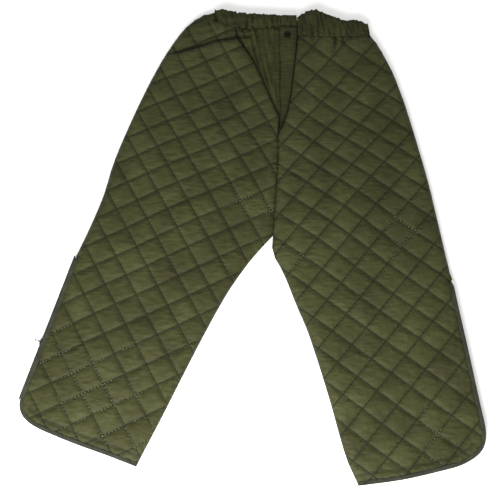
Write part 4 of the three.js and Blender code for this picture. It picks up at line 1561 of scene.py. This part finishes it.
def nickelled(name):
    material, add, place = new_material(name)
    marks = add("TexNoise", {"Vector": place, "Scale": blotch(1.5), "Detail": 4, "Roughness": 0.55}, "Fac")
    colour = add("ValToRGB", {"Fac": marks}, stops=((0.3, "#8b8b80"), (0.7, "#a9a99c")))
    roughness = add("MapRange", {"Value": marks, "To Min": 0.25, "To Max": 0.45})
    normal = add("Bump", {"Height": marks, "Strength": 0.1, "Distance": 0.05 * MM})
    surface = add("BsdfPrincipled", {"Base Color": colour, "Metallic": 1.0, "Roughness": roughness,
                                     "Normal": normal})
    add("OutputMaterial", {"Surface": surface})
    return material


coil_nylon = moulded_nylon("moulded_nylon_coil")
zinc_enamel = rubbed_enamel("green_grey_enamelled_zinc", "#30362c", "#3d4438", "#6f7265", 0.7, 0.5, 0.3)
black_enamel = rubbed_enamel("black_enamelled_brass", "#060605", "#0b0b0a", "#26231c", 0.8, 0.5, 0.12)
nickel = nickelled("nickelled_brass")


def dress(material, *objects):
    for obj in objects:
        obj.data.materials.clear()
        obj.data.materials.append(material)


dress(shell_cloth, *pads.values())
dress(lining_cloth, *linings.values())
dress(plain_cloth, facing, strip, lap)
dress(casing_cloth, fly_end, *[c[0] for c in casings.values()])
dress(elastic_knit, *[c[1] for c in casings.values()])
dress(bias_tape, *[b[0] for b in bindings.values()])
dress(herringbone, *tapes, *zip_parts["tape"])
dress(coil_nylon, *zip_parts["coil"])
dress(zinc_enamel, *castings)
dress(black_enamel, snap_cap)
dress(nickel, snap_socket, snap_stud, snap_post)
dress(thread_finish, *threads)
print("materials:", len(bpy.data.materials))

# %% [markdown]
# ## Floor and light
# A plain white floor, with a small glow of its own that is painted light and keeps its shadows faint, and
# soft light. The main light is a broad one, low and close beyond the hems, a little to the wearer's
# right. So each puff is bright on the side towards the hem and shaded on the side towards the waist, and
# the hems are brighter than the waist. The white surroundings fill the shadows.

# %% Floor, lights and surroundings
floor_mesh = bpy.data.meshes.new("floor")
FLOOR_SIZE = 12.0
PAINTED_FLOOR_GLOW = 0.25  # the floor glows a little, painted light that keeps the shadows faint
half = FLOOR_SIZE / 2
floor_corners = [(-half, -half, 0), (half, -half, 0), (half, half, 0), (-half, half, 0)]
floor_mesh.from_pydata(floor_corners, [], [(0, 1, 2, 3)])
floor = bpy.data.objects.new("floor", floor_mesh)
bpy.context.scene.collection.objects.link(floor)
paper, add, place = new_material("matt_white_paper")
tone = add("TexNoise", {"Vector": place, "Scale": blotch(900), "Detail": 3, "Roughness": 0.55}, "Fac")
paper_tone = add("ValToRGB", {"Fac": tone}, stops=((0.3, "#f4f4f2"), (0.7, "#f8f8f6")))
# The paper's emission is painted light: the floor glows so that its shadows stay faint.
surface = add("BsdfPrincipled", {"Base Color": paper_tone, "Roughness": 0.9,
                                 "Emission Color": (1, 1, 1, 1), "Emission Strength": PAINTED_FLOOR_GLOW})
add("OutputMaterial", {"Surface": surface})
dress(paper, floor)
floor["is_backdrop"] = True


def soft_light(name, where, aimed_at, size, power):
    data = bpy.data.lights.new(name, "AREA")
    data.shape = "DISK"
    data.size = size
    data.energy = power
    light = bpy.data.objects.new(name, data)
    light.location = where
    light.rotation_euler = (aimed_at - light.location).to_track_quat("-Z", "Y").to_euler()
    bpy.context.scene.collection.objects.link(light)


soft_light("main_light", Vector((-0.35, -1.25, 0.9)), Vector((-0.1, -0.3, 0)), 1.2, 55)
soft_light("top_light", Vector((0.3, 0.5, 2.8)), Vector((0, 0, 0)), 2.4, 6)
world = bpy.data.worlds.new("white_room")
bpy.context.scene.world = world
world.use_nodes = True
world.node_tree.nodes["Background"].inputs["Color"].default_value = (1, 1, 1, 1)
world.node_tree.nodes["Background"].inputs["Strength"].default_value = 0.55
bpy.context.scene.view_settings.view_transform = "Standard"

# %% Print both boxes and finish
now_low, now_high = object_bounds()
boxes = {"cad": [list(cad_low), list(cad_high)], "visual": [list(now_low), list(now_high)]}
for name, (low, high) in boxes.items():
    print(name, "box in mm:", [round(c / MM, 1) for c in (*low, *high)])
